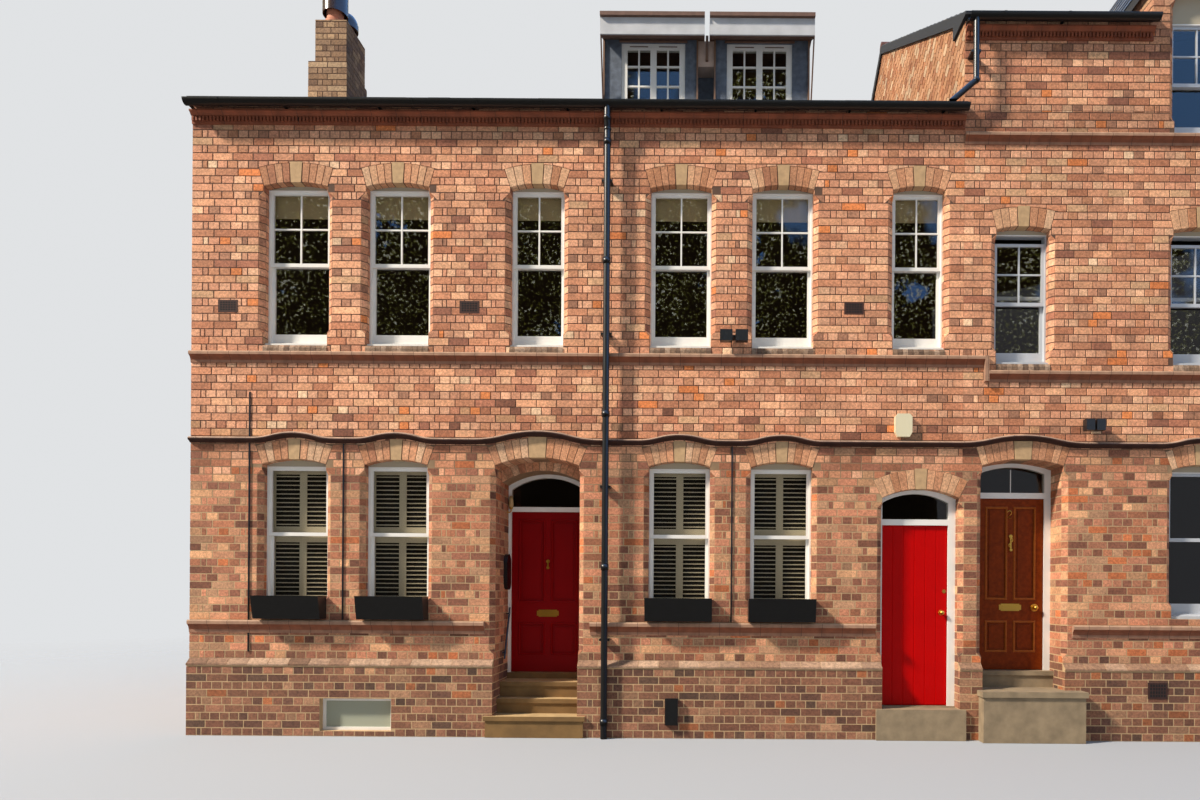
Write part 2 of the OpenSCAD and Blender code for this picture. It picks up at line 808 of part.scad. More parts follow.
// A pair of casements in each dormer: frame, mullion, two lights
module dormer_windows() {
  y0 = dormer_y + 20;
  color(white_paint) for (d = dormers) {
    mid = (d[4] + d[5]) / 2;
    along_y(y0, y0 + 60) difference() {
      translate([d[4], dormer_sill_z])
        square([d[5] - d[4], dormer_head_z - dormer_sill_z]);
      for (x = [d[4] + 75, mid + 40])
        translate([x, dormer_sill_z + 90])
          square([mid - d[4] - 115, dormer_head_z - dormer_sill_z - 165]);
    }
    box(d[4], d[5], dormer_y - 35, y0, dormer_sill_z, dormer_sill_z + 40);
  }
}

module gable_wall() {
  color(brick) {
    front_piece(gable_x[0], gable_x[1], tall_eave_z, gable_apex_z + 10);
    difference() {
      union() {
        box(gable_x[0], gable_x[0] + party_t, front_t, 900, tall_eave_z, gable_shoulder_z);
        box(gable_x[1] - party_t, gable_x[1], front_t, 900, tall_eave_z, gable_shoulder_z);
      }
      under_tall_roof();
    }
  }
}

module gable_roof() {
  t = (gable_apex_z - gable_shoulder_z) / (gable_mid - gable_x[0]);
  side = 70;
  color(slate) difference() {
    along_y(-60, 3300)
      polygon([[gable_x[0] - side, gable_shoulder_z - side * t], [gable_mid, gable_apex_z],
               [gable_x[1] + side, gable_shoulder_z - side * t],
               [gable_x[1] + side, gable_shoulder_z - side * t + 110],
               [gable_mid, gable_apex_z + 110],
               [gable_x[0] - side, gable_shoulder_z - side * t + 110]]);
    under_tall_roof();
  }
}

stack_step_z = stack_foot_z + 1170;
stack_top_z = stack_step_z + 650;
pot_x = stack_x[0] + 325;
pot_ys = [stack_y[0] + 175, stack_y[1] - 175];
flue_r = 80;
pot_r = 121;
pot_bore = 92;
cap_r = 182;

module chimney_stack() {
  color("#A98058") {
    box(stack_x[0], stack_x[1], stack_y[0], stack_y[1], stack_foot_z, stack_step_z);
    difference() {
      box(stack_x[0] + 90, stack_x[1] - 20, stack_y[0] + 30, stack_y[1] - 30, stack_step_z,
          stack_top_z);
      for (y = pot_ys) translate([pot_x, y, stack_top_z - 120]) cylinder(h = 130, r = flue_r);
    }
  }
}

// A pot on a bed of mortar, under a cap carried on its rim
module pot(y, bed_r, cap_z) {
  translate([pot_x, y, stack_top_z]) difference() {
    union() {
      cylinder(h = 35, r = bed_r);
      translate([0, 0, 35]) cylinder(h = cap_z + 100, r = pot_r);
    }
    translate([0, 0, -1]) cylinder(h = cap_z + 200, r = pot_bore);
  }
}

module drum_cap(y, z) {
  translate([pot_x, y, stack_top_z + z]) difference() {
    cylinder(h = 300, r = cap_r);
    translate([0, 0, -1]) cylinder(h = 136, r = cap_r - 12);
  }
}

module dome_cap(y, z) {
  translate([pot_x, y, stack_top_z + z]) difference() {
    union() {
      cylinder(h = 90, r = cap_r);
      translate([0, 0, 90]) intersection() {
        sphere(cap_r - 8);
        translate([-300, -300, 0]) cube([600, 600, 300]);
      }
    }
    translate([0, 0, -1]) cylinder(h = 136, r = cap_r - 30);
  }
}

module chimney_pots() {
  color("#B4552E") {
    pot(pot_ys[0], 150, 155);
    drum_cap(pot_ys[0], 155);
    pot(pot_ys[1], 150, 190);
    dome_cap(pot_ys[1], 190);
  }
}

// Sash windows: box frame in the rebate with an arched board over the sashes
module sash_box(o) {
  hw = o[1] / 2;
  along_y(face_t, face_t + box_d) difference() {
    inner_opening_2d(o);
    translate([o[0] - hw + box_face, o[2] + sill_h])
      square([o[1] - 2 * box_face, o[5] - o[2] - sill_h]);
  }
  along_x(o[0] - hw, o[0] + hw)
    polygon([[35, o[2]], [35, o[2] + sill_nose], [face_t, o[2] + sill_h - 8], [face_t, o[2]]]);
}

// z range of a sash, and the heights of its bottom and top rails
module sash_ring(o, y, z, rails) {
  hw = o[1] / 2 - box_face;
  along_y(y, y + sash_d) difference() {
    translate([o[0] - hw, z[0]]) square([2 * hw, z[1] - z[0]]);
    translate([o[0] - hw + stile, z[0] + rails[0]])
      square([2 * hw - 2 * stile, z[1] - z[0] - rails[0] - rails[1]]);
  }
}

module sash_pane(o, y, z, rails) {
  hw = o[1] / 2 - box_face - stile;
  box(o[0] - hw, o[0] + hw, y + 14, y + 18, z[0] + rails[0], z[1] - rails[1]);
}

sash_y = [face_t + 14, face_t + 14 + sash_d + 4];
upper_rails = [meeting_rail, stile];
lower_rails = [bottom_rail, meeting_rail];
function upper_sash(o, drop) = [o[6] - meeting_rail / 2 - drop, o[5] - drop];
function lower_sash(o) = [o[2] + sill_h, o[6] + meeting_rail / 2];
function drop_of(o) = o[2] == tall_mid[0] ? tall_drop : 0;

module sash_pair(o, drop) {
  sash_ring(o, sash_y[0], upper_sash(o, drop), upper_rails);
  sash_ring(o, sash_y[1], lower_sash(o), lower_rails);
}

module pane_pair(o, drop) {
  sash_pane(o, sash_y[0], upper_sash(o, drop), upper_rails);
  sash_pane(o, sash_y[1], lower_sash(o), lower_rails);
}

module cellar_frame_2d(grow) {
  translate([cellar_x[0] + grow, cellar_z[0] + grow])
    square([cellar_x[1] - cellar_x[0] - 2 * grow, cellar_z[1] - cellar_z[0] - 2 * grow]);
}

module window_frames() {
  color(white_paint) {
    for (o = front_windows) sash_box(o);
    to_back() for (o = back_windows) sash_box(o);
    along_y(20, 70) difference() {
      cellar_frame_2d(0);
      cellar_frame_2d(35);
    }
  }
}

module sashes() {
  color(white_paint) {
    for (o = front_windows) sash_pair(o, drop_of(o));
    to_back() for (o = back_windows) sash_pair(o, 0);
  }
}

// fanlight aperture over a transom, inside the frame of the same door
fan_edge = 45;
function fan(o, s, sp, cr) = [(s[1] + s[2]) / 2, s[2] - s[1], s[5], sp - fan_edge, cr - fan_edge];
fan_l = fan(door_l, set_l, porch_arch[0], porch_arch[1]);
fan_o = fan(door_o, set_o, door_o[3], door_o[4]);
fan_p = fan(door_p, set_p, door_p[3], door_p[4]);

module window_glass() {
  color([0.6, 0.7, 0.75, 0.5]) {
    for (o = front_windows) pane_pair(o, drop_of(o));
    to_back() for (o = back_windows) pane_pair(o, 0);
    for (f = [[fan_l, set_l], [fan_o, set_o], [fan_p, set_p]])
      along_y(f[1][0] + 30, f[1][0] + 36) opening_2d(f[0]);
    for (d = dormers) {
      mid = (d[4] + d[5]) / 2;
      for (x = [d[4] + 75, mid + 40])
        box(x, x + mid - d[4] - 115, dormer_y + 45, dormer_y + 49, dormer_sill_z + 90,
            dormer_head_z - 75);
    }
    along_y(40, 46) cellar_frame_2d(35);
  }
}

// Shutters stand inside the four ground floor windows of the low houses
shutter_y = face_t + box_d + 12;
shutter_side = 90;
shutter_mid = 42;
shutter_rail = 90;
shutter_head = 64;
function louvre_z(o) = [[o[2] + 130, o[6] - shutter_rail],
                        [o[6] + shutter_rail + 8, o[5] - shutter_head]];
module shutters() {
  color("#D9D6C4") for (o = front_lower) {
    hw = o[1] / 2 + win_rebate;
    along_y(shutter_y, shutter_y + 30) difference() {
      translate([o[0] - hw, o[2]]) square([2 * hw, o[4] + win_rebate - o[2]]);
      for (x = [-hw + shutter_side, shutter_mid]) for (z = louvre_z(o))
        translate([o[0] + x, z[0]])
          square([hw - shutter_side - shutter_mid, z[1] - z[0]]);
    }
    for (x = [-hw + shutter_side, shutter_mid]) for (z = louvre_z(o))
      box(o[0] + x, o[0] + x + hw - shutter_side - shutter_mid, shutter_y + 11,
          shutter_y + 19, z[0], z[1]);
  }
}

// how far a blind hangs below the crown of its window
blind_drop = 440;
module blinds() {
  color("#CFC9B0") for (o = front_upper) {
    hw = o[1] / 2 + win_rebate;
    box(o[0] - hw, o[0] + hw, face_t + box_d + 10, face_t + box_d + 14, o[4] - blind_drop,
        o[4] + win_rebate);
  }
}

// Door frames: rebated posts, and a head with the fanlight over a transom
module post(x0, x1, s, side) {
  difference() {
    box(x0, x1, s[0], s[0] + frame_d, s[3], s[4]);
    if (side < 0)
      box(x1 - door_rebate, x1 + 1, s[0] + stop_d, s[0] + frame_d + 1, s[3] - 1, s[4] + 1);
    else
      box(x0 - 1, x0 + door_rebate, s[0] + stop_d, s[0] + frame_d + 1, s[3] - 1, s[4] + 1);
  }
}

module door_posts() {
  color(white_paint) for (d = [[door_l, set_l], [door_o, set_o], [door_p, set_p]]) {
    post(left_of(d[0]), d[1][1], d[1], -1);
    post(d[1][2], right_of(d[0]), d[1], 1);
  }
}

module door_head(o, s, f, sp, cr) {
  outer = [o[0], o[1], s[4], sp, cr];
  difference() {
    along_y(s[0], s[0] + frame_d) difference() {
      opening_2d(outer);
      opening_2d(f);
    }
    box(s[1] - door_rebate, s[2] + door_rebate, s[0] + stop_d, s[0] + frame_d + 1, s[4] - 1,
        s[4] + door_rebate);
  }
}

module door_heads() {
  color(white_paint) {
    door_head(door_l, set_l, fan_l, porch_arch[0], porch_arch[1]);
    door_head(door_o, set_o, fan_o, door_o[3], door_o[4]);
    door_head(door_p, set_p, fan_p, door_p[3], door_p[4]);
  }
}

// Stone steps: outline in y and z between the jambs, with ears past the plinth
tread_t = 52;
module door_steps() {
  lx = [left_of(door_l), right_of(door_l)];
  ox = [left_of(door_o), right_of(door_o)];
  px = [left_of(door_p), right_of(door_p)];
  color("#B5A070") {
    along_x(lx[0], lx[1])
      polygon([[-plinth_proj, 0], [-plinth_proj, 250], [150, 250], [150, 425 - tread_t],
               [130, 425 - tread_t], [130, 425], [300, 425], [300, 610 - tread_t],
               [280, 610 - tread_t], [280, 610], [set_l[0] - 20, 610],
               [set_l[0] - 20, floor_left], [porch_end, floor_left], [porch_end, 0]]);
    box(lx[0] - 96, lx[1] + 92, -110, -plinth_proj, 250 - tread_t, 250);
    box(lx[0] - 76, lx[1] + 72, -90, -plinth_proj, 0, 250 - tread_t);
    along_x(ox[0], ox[1])
      polygon([[-plinth_proj, 0], [-plinth_proj, floor_mid - 12], [set_o[0] - 30, floor_mid - 12],
               [set_o[0] - 30, floor_mid], [y_in, floor_mid], [y_in, 0]]);
    box(ox[0] - 75, ox[1] + 63, -110, -plinth_proj, 0, floor_mid - 12);
    along_x(px[0], px[1])
      polygon([[-plinth_proj, 0], [-plinth_proj, 590], [250, 590], [250, floor_tall - tread_t],
               [230, floor_tall - tread_t], [230, floor_tall], [nib_end, floor_tall],
               [nib_end, 0]]);
    box(px[0] - 64, px[1] + 193, -250, -plinth_proj, 590 - 65, 590);
    box(px[0] - 44, px[1] + 173, -228, -plinth_proj, 0, 590 - 65);
  }
}

// Tapered window boxes on the sill string, open on top
trough_half = 390;
trough_z = [sill_string_z + 20, sill_string_z + 40, sill_string_z + 290];
module trough_end_2d() {
  polygon([[0, trough_z[1]], [-150, trough_z[1]], [-205, trough_z[2]], [0, trough_z[2]]]);
}

module window_boxes() {
  color(iron_black) for (o = front_lower) {
    x0 = o[0] - trough_half;
    x1 = o[0] + trough_half;
    along_x(x0, x1)
      polygon([[0, trough_z[0]], [0, trough_z[1]], [-150, trough_z[1]], [-205, trough_z[2]],
               [-217, trough_z[2]], [-160, trough_z[0]]]);
    along_x(x0, x0 + 10) trough_end_2d();
    along_x(x1 - 10, x1) trough_end_2d();
    box(x0 + 10, x1 - 10, -120, 0, trough_z[1], trough_z[1] + 20);
  }
}

air_spots = [[-6043, 5040], [-3204, 5045], [1318, 5060]];
module air_bricks() {
  color("#6A3A2C") {
    for (a = air_spots) box(a[0] - 115, a[0] + 115, -7, 0, a[1] - 72, a[1] + 72);
    box(4885 - 115, 4885 + 115, -plinth_proj - 7, -plinth_proj, 594 - 95, 594 + 95);
  }
}

module conduit(x, z0, z1) {
  translate([x, -9, z0]) cylinder(h = z1 - z0, r = 9);
}

module flood_pair(x, z, w) {
  box(x - 30, x + 30, -60, 0, z - 20, z + 20);
  for (s = [-1, 1]) translate([x + s * w, -60, z]) {
    translate([-w * 0.8, -90, -70]) cube([w * 1.6, 90, 130]);
  }
  box(x - w * 1.2, x + w * 1.2, -80, -60, z - 15, z + 15);
}

// Rail on the porch's left cheek, on two stand-offs
module grab_rail() {
  x = left_of(door_l);
  a = [x + 36, 370, 880];
  b = [x + 36, 630, 1500];
  rod(a, b, 11);
  for (t = [0.12, 0.88]) translate(a + (b - a) * t) rotate([0, -90, 0]) cylinder(h = 36, r = 8);
}

module wall_fittings() {
  color(iron_black) {
    flood_pair(-95, 4700, 90);
    flood_pair(4105, 3690, 62);
    conduit(-5776, plinth_z + 80, sill_string_z - sill_string_h);
    conduit(-5776, sill_string_z, label_z - 4);
    conduit(-5776, label_z + 74, 4030);
    conduit(-4671, sill_string_z + 10, label_z - 4);
    conduit(-104, sill_string_z + 10, label_z - 4);
    grab_rail();
    translate([left_of(door_l), 0, 0]) rotate([90, 0, 90]) linear_extrude(48) {
      translate([540, 1830]) circle(105);
      translate([540, 2060]) circle(105);
      translate([435, 1830]) square([210, 230]);
    }
    box(-870, -720, -plinth_proj - 60, -plinth_proj, 160, 470);
  }
}

module alarm_box() {
  color("#E9E2C8") {
    along_y(-62, 0) polygon([[1800, 3600], [1830, 3545], [1970, 3545], [2000, 3600],
                             [2000, 3780], [1970, 3815], [1830, 3815], [1800, 3780]]);
  }
}

// Hinges: pin at the inner corner of the leaf, one moving knuckle between two fixed ones
hinge_h = 110;
hinge_slit = 0.6;
plate_t = 2.5;
function pin_x(s) = s[1] - door_rebate + hinge_gap / 2;
function pin_y(s) = s[0] + frame_d + knuckle_r + 1;
function hinge_zs(s) = [s[3] + 230, (s[3] + s[4]) / 2, s[4] - 280];

module fixed_hinge(s, z) {
  px = pin_x(s);
  py = pin_y(s);
  face = s[0] + frame_d;
  edge = hinge_gap / 2;
  part_h = hinge_h / 3;
  translate([px, py, z]) cylinder(h = hinge_h, r = pin_r);
  for (dz = [0, hinge_h - part_h]) {
    translate([px, py, z + dz]) cylinder(h = part_h, r = knuckle_r);
    box(px - edge - 2, px, face, face + plate_t, z + dz, z + dz + part_h);
  }
  box(px - edge - 14, px - edge - 2, face, face + plate_t, z, z + hinge_h);
}

module hinge_plates() {
  color(brass) for (s = [set_l, set_o, set_p]) for (z = hinge_zs(s)) fixed_hinge(s, z);
}

module moving_hinge(s, z) {
  px = pin_x(s);
  py = pin_y(s);
  face = s[0] + frame_d;
  part_h = hinge_h / 3;
  z0 = z + part_h + hinge_slit;
  difference() {
    union() {
      translate([px, py, z0]) cylinder(h = part_h - 2 * hinge_slit, r = knuckle_r);
      box(px, px + 12, face, face + plate_t, z0, z0 + part_h - 2 * hinge_slit);
    }
    translate([px, py, z]) cylinder(h = hinge_h, r = pin_r + 0.3);
  }
  box(px + 12, px + 46, face, face + plate_t, z, z + hinge_h);
}

// x range, y range and z range of a leaf
function leaf_x(s) = [s[1] - door_rebate + hinge_gap, s[2] + door_rebate - latch_gap];
function leaf_y(s) = [s[0] + stop_d + leaf_gap, s[0] + frame_d];
function leaf_z(s) = [s[3] + leaf_gap, s[4] + door_rebate - leaf_gap];

module leaf_slab(s) {
  box(leaf_x(s)[0], leaf_x(s)[1], leaf_y(s)[0], leaf_y(s)[1], leaf_z(s)[0], leaf_z(s)[1]);
}

// Raised and fielded panel set in a sunk field on both faces
module panel(s, x0, x1, z0, z1) {
  y = leaf_y(s);
  difference() {
    union() {
      box(x0, x1, y[0] - 1, y[0] + 13, z0, z1);
      box(x0, x1, y[1] - 10, y[1] + 1, z0, z1);
    }
    box(x0 + 40, x1 - 40, y[0] + 4, y[0] + 14, z0 + 40, z1 - 40);
  }
}

lock_half = 140;
lock_l = 1440;
lock_p = 1515;
module panel_leaf(s, lock_z) {
  x = leaf_x(s);
  m = (x[0] + x[1]) / 2;
  difference() {
    leaf_slab(s);
    for (p = [[x[0] + 110, m - 50], [m + 50, x[1] - 110]]) {
      panel(s, p[0], p[1], s[3] + 230, lock_z - lock_half);
      panel(s, p[0], p[1], lock_z + lock_half, s[4] - 110);
    }
  }
}

module letter_plate(s, x, z, w) {
  y = leaf_y(s)[0];
  h = 44;
  box(x - w / 2 + h / 2, x + w / 2 - h / 2, y - 5, y, z - h, z + h);
  for (side = [-1, 1])
    box(x + side * (w / 2 - h / 4) - h / 4, x + side * (w / 2 - h / 4) + h / 4, y - 5, y,
        z - h * 0.7, z + h * 0.7);
  box(x - w / 2 + 40, x + w / 2 - 40, y - 9, y - 5, z - 22, z + 22);
}

module knocker(s, x, z, drop) {
  y = leaf_y(s)[0];
  translate([x, y, z]) rotate([90, 0, 0]) cylinder(h = 18, r = 22);
  box(x - 8, x + 8, y - 16, y, z - drop, z);
  translate([x, y, z - drop]) rotate([90, 0, 0]) cylinder(h = 26, r = 17);
}

// a half ring of round bar on the face, for the scrolls of a knocker
module scroll(s, x, z, start) {
  translate([x, leaf_y(s)[0] - 8, z]) rotate([90, 0, 0]) rotate([0, 0, start])
    rotate_extrude(angle = 200) translate([22, 0]) circle(8, $fn = 24);
}

module knob(s, x, z, rose_r) {
  y = leaf_y(s);
  translate([x, y[0], z]) rotate([90, 0, 0]) {
    cylinder(h = 6, r = rose_r);
    cylinder(h = 40, r = 11);
    translate([0, 0, 52]) sphere(28);
  }
}

module panel_door_leaf() {
  color("#5A0A10") panel_leaf(set_l, lock_l);
}

module panel_door_brass() {
  m = (leaf_x(set_l)[0] + leaf_x(set_l)[1]) / 2;
  color(brass) {
    for (z = hinge_zs(set_l)) moving_hinge(set_l, z);
    letter_plate(set_l, m, lock_l - 10, 275);
    knocker(set_l, m, 2085, 80);
  }
}

module plank_door_leaf() {
  color("#C80008") leaf_slab(set_o);
}

module plank_door_brass() {
  x = leaf_x(set_o)[1];
  color(brass) {
    for (z = hinge_zs(set_o)) moving_hinge(set_o, z);
    knob(set_o, x - 80, 1485, 32);
    translate([x - 45, leaf_y(set_o)[0], 1740]) rotate([90, 0, 0]) cylinder(h = 8, r = 22);
  }
}

module brown_door_leaf() {
  color("#8A3A0E") panel_leaf(set_p, lock_p);
}

module brown_door_brass() {
  x = leaf_x(set_p)[1];
  m = (leaf_x(set_p)[0] + x) / 2;
  color(brass) {
    for (z = hinge_zs(set_p)) moving_hinge(set_p, z);
    letter_plate(set_p, m, lock_p + 35, 270);
    knocker(set_p, m, 2415, 165);
    scroll(set_p, m, 2370, -80);
    scroll(set_p, m, 2305, 100);
    knob(set_p, x - 110, lock_p + 32, 46);
  }
}

front_walls();
door_head_walls();
back_wall();
party_walls();
floors();
porch_cheeks();
brick_arches();
keystones();
plinth();
lower_sill_string();
label_course();
upper_sill_strings();
eaves_cornice();
gutters();
downpipes();
low_roof();
tall_roof();
ridge_tiles();
dormer_walls();
dormer_roofs();
dormer_fascias();
dormer_windows();
gable_wall();
gable_roof();
chimney_stack();
chimney_pots();
window_frames();
sashes();
window_glass();
shutters();
blinds();
door_posts();
door_heads();
door_steps();
window_boxes();
air_bricks();
wall_fittings();
alarm_box();
hinge_plates();
panel_door_leaf();
panel_door_brass();
plank_door_leaf();
plank_door_brass();
brown_door_leaf();
brown_door_brass();
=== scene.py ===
"""Looks, materials and light for the terraced brick row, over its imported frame."""

import math
import random

import bpy
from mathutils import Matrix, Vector


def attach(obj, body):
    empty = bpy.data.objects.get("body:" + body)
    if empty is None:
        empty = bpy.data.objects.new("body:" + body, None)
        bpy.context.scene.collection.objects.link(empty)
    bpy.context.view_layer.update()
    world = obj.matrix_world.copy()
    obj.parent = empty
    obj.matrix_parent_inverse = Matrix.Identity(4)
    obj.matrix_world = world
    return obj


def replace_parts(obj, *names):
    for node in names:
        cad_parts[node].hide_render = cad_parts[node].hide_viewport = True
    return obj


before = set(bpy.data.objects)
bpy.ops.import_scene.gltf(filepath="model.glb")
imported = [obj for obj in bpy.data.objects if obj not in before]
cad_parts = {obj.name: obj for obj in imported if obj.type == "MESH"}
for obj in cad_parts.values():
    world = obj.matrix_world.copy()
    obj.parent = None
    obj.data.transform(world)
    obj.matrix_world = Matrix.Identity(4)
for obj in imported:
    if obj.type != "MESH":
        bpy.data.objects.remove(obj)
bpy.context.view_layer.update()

# ---------------------------------------------------------------- front brickwork
# English bond in soft red-brown bricks bedded in lime mortar. The frame's walls are the
# mortar, and the bricks are small pillow-faced slips that stand 1 to 5 mm proud of it.
rng = random.Random(31)
MM = 0.001


def linear(hex_colour):
    """A colour picked as sRGB, as the linear values a shader takes."""
    parts = [int(hex_colour[i:i + 2], 16) / 255 for i in (1, 3, 5)]
    return tuple(c / 12.92 if c <= 0.04045 else ((c + 0.055) / 1.055) ** 2.4 for c in parts)


def add(mat, kind, values=None, links=None, **settings):
    """Adds a shader node with its settings, socket values and incoming links."""
    n = mat.node_tree.nodes.new(kind)
    for key, value in settings.items():
        setattr(n, key, value)
    for key, value in (values or {}).items():
        n.inputs[key].default_value = value
    for key, out in (links or {}).items():
        mat.node_tree.links.new(out, n.inputs[key])
    return n


def blend(mat, factor, under, over):
    """Mixes a colour or link into another by a factor; both may be hex colours."""
    n = add(mat, "ShaderNodeMix", links={0: factor}, data_type="RGBA")
    for slot, colour in ((6, under), (7, over)):
        if isinstance(colour, str):
            n.inputs[slot].default_value = (*linear(colour), 1)
        else:
            mat.node_tree.links.new(colour, n.inputs[slot])
    return n.outputs[2]


def surface(name, colour, roughness, mottle=0.0, mottle_mm=60.0, bump=0.0, bump_mm=4.0,
            values=None, tinted=False, lit_top=None, joint_mm=0.0, low=None, shaded_front=None,
            specks=(), lit_top_from=0.35):
    """A painted or fired surface: colour, blotches of one size, a fine bump of another.

    ledge is the colour of upward faces from a slope on, riser that of front faces,
    joint_mm the length of the pieces it is laid in with dark joints 4 mm wide, low a
    colour and the height in metres under which it takes over, and specks more blotches
    as pairs of strength and size in millimetres."""
    mat = bpy.data.materials.new(name)
    mat.use_nodes = True
    shader = mat.node_tree.nodes["Principled BSDF"]
    shader.inputs["Roughness"].default_value = roughness
    for key, value in (values or {}).items():
        shader.inputs[key].default_value = value
    where = add(mat, "ShaderNodeTexCoord").outputs["Object"]
    if tinted:
        base = add(mat, "ShaderNodeAttribute", attribute_name="tint").outputs["Color"]
    else:
        flat = add(mat, "ShaderNodeRGB")
        flat.outputs[0].default_value = (*linear(colour), 1)
        base = flat.outputs[0]
    if low:
        height = add(mat, "ShaderNodeSeparateXYZ", links={0: where}).outputs["Z"]
        share = add(mat, "ShaderNodeMapRange",
                    {"From Min": low[1] - 0.5, "From Max": low[1] + 0.5}, {"Value": height})
        base = blend(mat, share.outputs[0], low[0], base)
    # ledge paints a highlight on faces that look up, riser paints shade on faces that look to the
    # front
    for shade, axis, sign, edge in ((lit_top, "Z", 1, lit_top_from), (shaded_front, "Y", -1, 0.35)):
        if shade:
            facing = add(mat, "ShaderNodeNewGeometry").outputs["Normal"]
            part = add(mat, "ShaderNodeSeparateXYZ", links={0: facing}).outputs[axis]
            share = add(mat, "ShaderNodeMapRange",
                        {"From Min": edge * sign, "From Max": (edge + 0.45) * sign},
                        {"Value": part})
            base = blend(mat, share.outputs[0], base, shade)
    for amount, size in (((mottle, mottle_mm),) if mottle else ()) + tuple(specks):
        blotch = add(mat, "ShaderNodeTexNoise", {"Scale": 1000 / size, "Detail": 5.0},
                     {"Vector": where})
        level = add(mat, "ShaderNodeMapRange",
                    {"From Min": 0.3, "From Max": 0.7, "To Min": 1 - amount, "To Max": 1 + amount},
                    {"Value": blotch.outputs["Fac"]})
        base = add(mat, "ShaderNodeVectorMath", links={0: base, "Scale": level.outputs[0]},
                   operation="SCALE").outputs["Vector"]
    if joint_mm:
        along = add(mat, "ShaderNodeSeparateXYZ", links={0: where}).outputs["X"]
        count = add(mat, "ShaderNodeMath", {1: 1000 / joint_mm}, {0: along}, operation="MULTIPLY")
        part = add(mat, "ShaderNodeMath", links={0: count.outputs[0]}, operation="FRACT")
        thin = add(mat, "ShaderNodeMath", {1: 4 / joint_mm}, {0: part.outputs[0]},
                   operation="LESS_THAN")
        base = blend(mat, thin.outputs[0], base, "#3A2A24")
    mat.node_tree.links.new(base, shader.inputs["Base Color"])
    if bump:
        grain = add(mat, "ShaderNodeTexNoise", {"Scale": 1000 / bump_mm, "Detail": 3.0},
                    {"Vector": where})
        relief = add(mat, "ShaderNodeBump", {"Strength": 1.0, "Distance": bump * MM},
                     {"Height": grain.outputs["Fac"]})
        mat.node_tree.links.new(relief.outputs["Normal"], shader.inputs["Normal"])
    return mat


def dress(names, mat, second=None, rule=None):
    """Gives CAD nodes a material, and a second one to the faces a rule picks."""
    for name in names.split():
        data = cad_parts[name].data
        data.materials.clear()
        data.materials.append(mat)
        if second:
            data.materials.append(second)
            for face in data.polygons:
                face.material_index = 1 if rule(face.center * 1000, face.normal) else 0


class Plane:
    """A wall face: a point on it, the way along it, the way up it and the way out."""

    def __init__(self, origin, along, up=(0, 0, 1)):
        self.origin = Vector(origin)
        self.along = Vector(along).normalized()
        self.up = Vector(up).normalized()
        self.out = self.along.cross(self.up)

    def at(self, u, v, n=0.0):
        return (self.origin + self.along * u + self.up * v + self.out * n) * MM


def sides(poly):
    """The edges of an outline as half planes whose inside is positive."""
    out = []
    for (ax, ay), (bx, by) in zip(poly, poly[1:] + poly[:1]):
        length = math.hypot(bx - ax, by - ay)
        if length > 1.5:
            nx, ny = -(by - ay) / length, (bx - ax) / length
            out.append((nx, ny, nx * ax + ny * ay))
    return out


def inset(poly, d):
    """A convex outline moved inwards, or None where it is too small."""
    lines = sides(poly)
    out = []
    for (a, b, c), (e, f, g) in zip(lines[-1:] + lines[:-1], lines):
        det = a * f - b * e
        if abs(det) < 1e-6:
            return None
        out.append((((c + d) * f - b * (g + d)) / det, (a * (g + d) - (c + d) * e) / det))
    area = sum(out[i - 1][0] * out[i][1] - out[i][0] * out[i - 1][1] for i in range(len(out)))
    return out if len(out) == len(poly) and area > 60 else None


def clip(poly, nx, ny, c):
    """The part of an outline where nx*u + ny*v is at least c."""
    out = []
    for p, q in zip(poly[-1:] + poly[:-1], poly):
        dp, dq = nx * p[0] + ny * p[1] - c, nx * q[0] + ny * q[1] - c
        if (dp >= 0) != (dq >= 0):
            t = dp / (dp - dq)
            out.append((p[0] + (q[0] - p[0]) * t, p[1] + (q[1] - p[1]) * t))
        if dq >= 0:
            out.append(q)
    return out


def trim(poly, inner, rims, margin):
    """An outline kept inside convex limits and pushed off each hole it meets."""
    for nx, ny, c in inner:
        poly = clip(poly, nx, ny, c)
        if len(poly) < 3:
            return None
    for edges, box in rims:
        us, vs = [p[0] for p in poly], [p[1] for p in poly]
        if box[0] > max(us) or box[1] < min(us) or box[2] > max(vs) or box[3] < min(vs):
            continue
        cu, cv = sum(us) / len(us), sum(vs) / len(vs)
        nx, ny, c = min(edges, key=lambda s: s[0] * cu + s[1] * cv - s[2])
        poly = clip(poly, -nx, -ny, margin - c)
        if len(poly) < 3:
            return None
    return poly


def rims_of(holes):
    return [(sides(h), (min(p[0] for p in h), max(p[0] for p in h), min(p[1] for p in h),
                        max(p[1] for p in h))) for h in holes]


def width_at(poly, v):
    """Lowest and highest u of a convex outline at one height, or None."""
    found = [a[0] + (b[0] - a[0]) * (v - a[1]) / (b[1] - a[1])
             for a, b in zip(poly[-1:] + poly[:-1], poly)
             if (a[1] - v) * (b[1] - v) <= 0 and a[1] != b[1]]
    return (min(found), max(found)) if len(found) > 1 else None


def finish_piece(name, points, faces, mat, body, tints=None):
    """Makes one mesh of a group of small pieces and lets it ride its body."""
    data = bpy.data.meshes.new(name)
    data.from_pydata([tuple(p) for p in points], [], faces)
    data.materials.append(mat)
    if tints:
        layer = data.color_attributes.new("tint", "FLOAT_COLOR", "POINT")
        layer.data.foreach_set("color", [x for t in tints for x in (*t, 1.0)])
    obj = bpy.data.objects.new(name, data)
    bpy.context.scene.collection.objects.link(obj)
    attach(obj, body)
    return obj


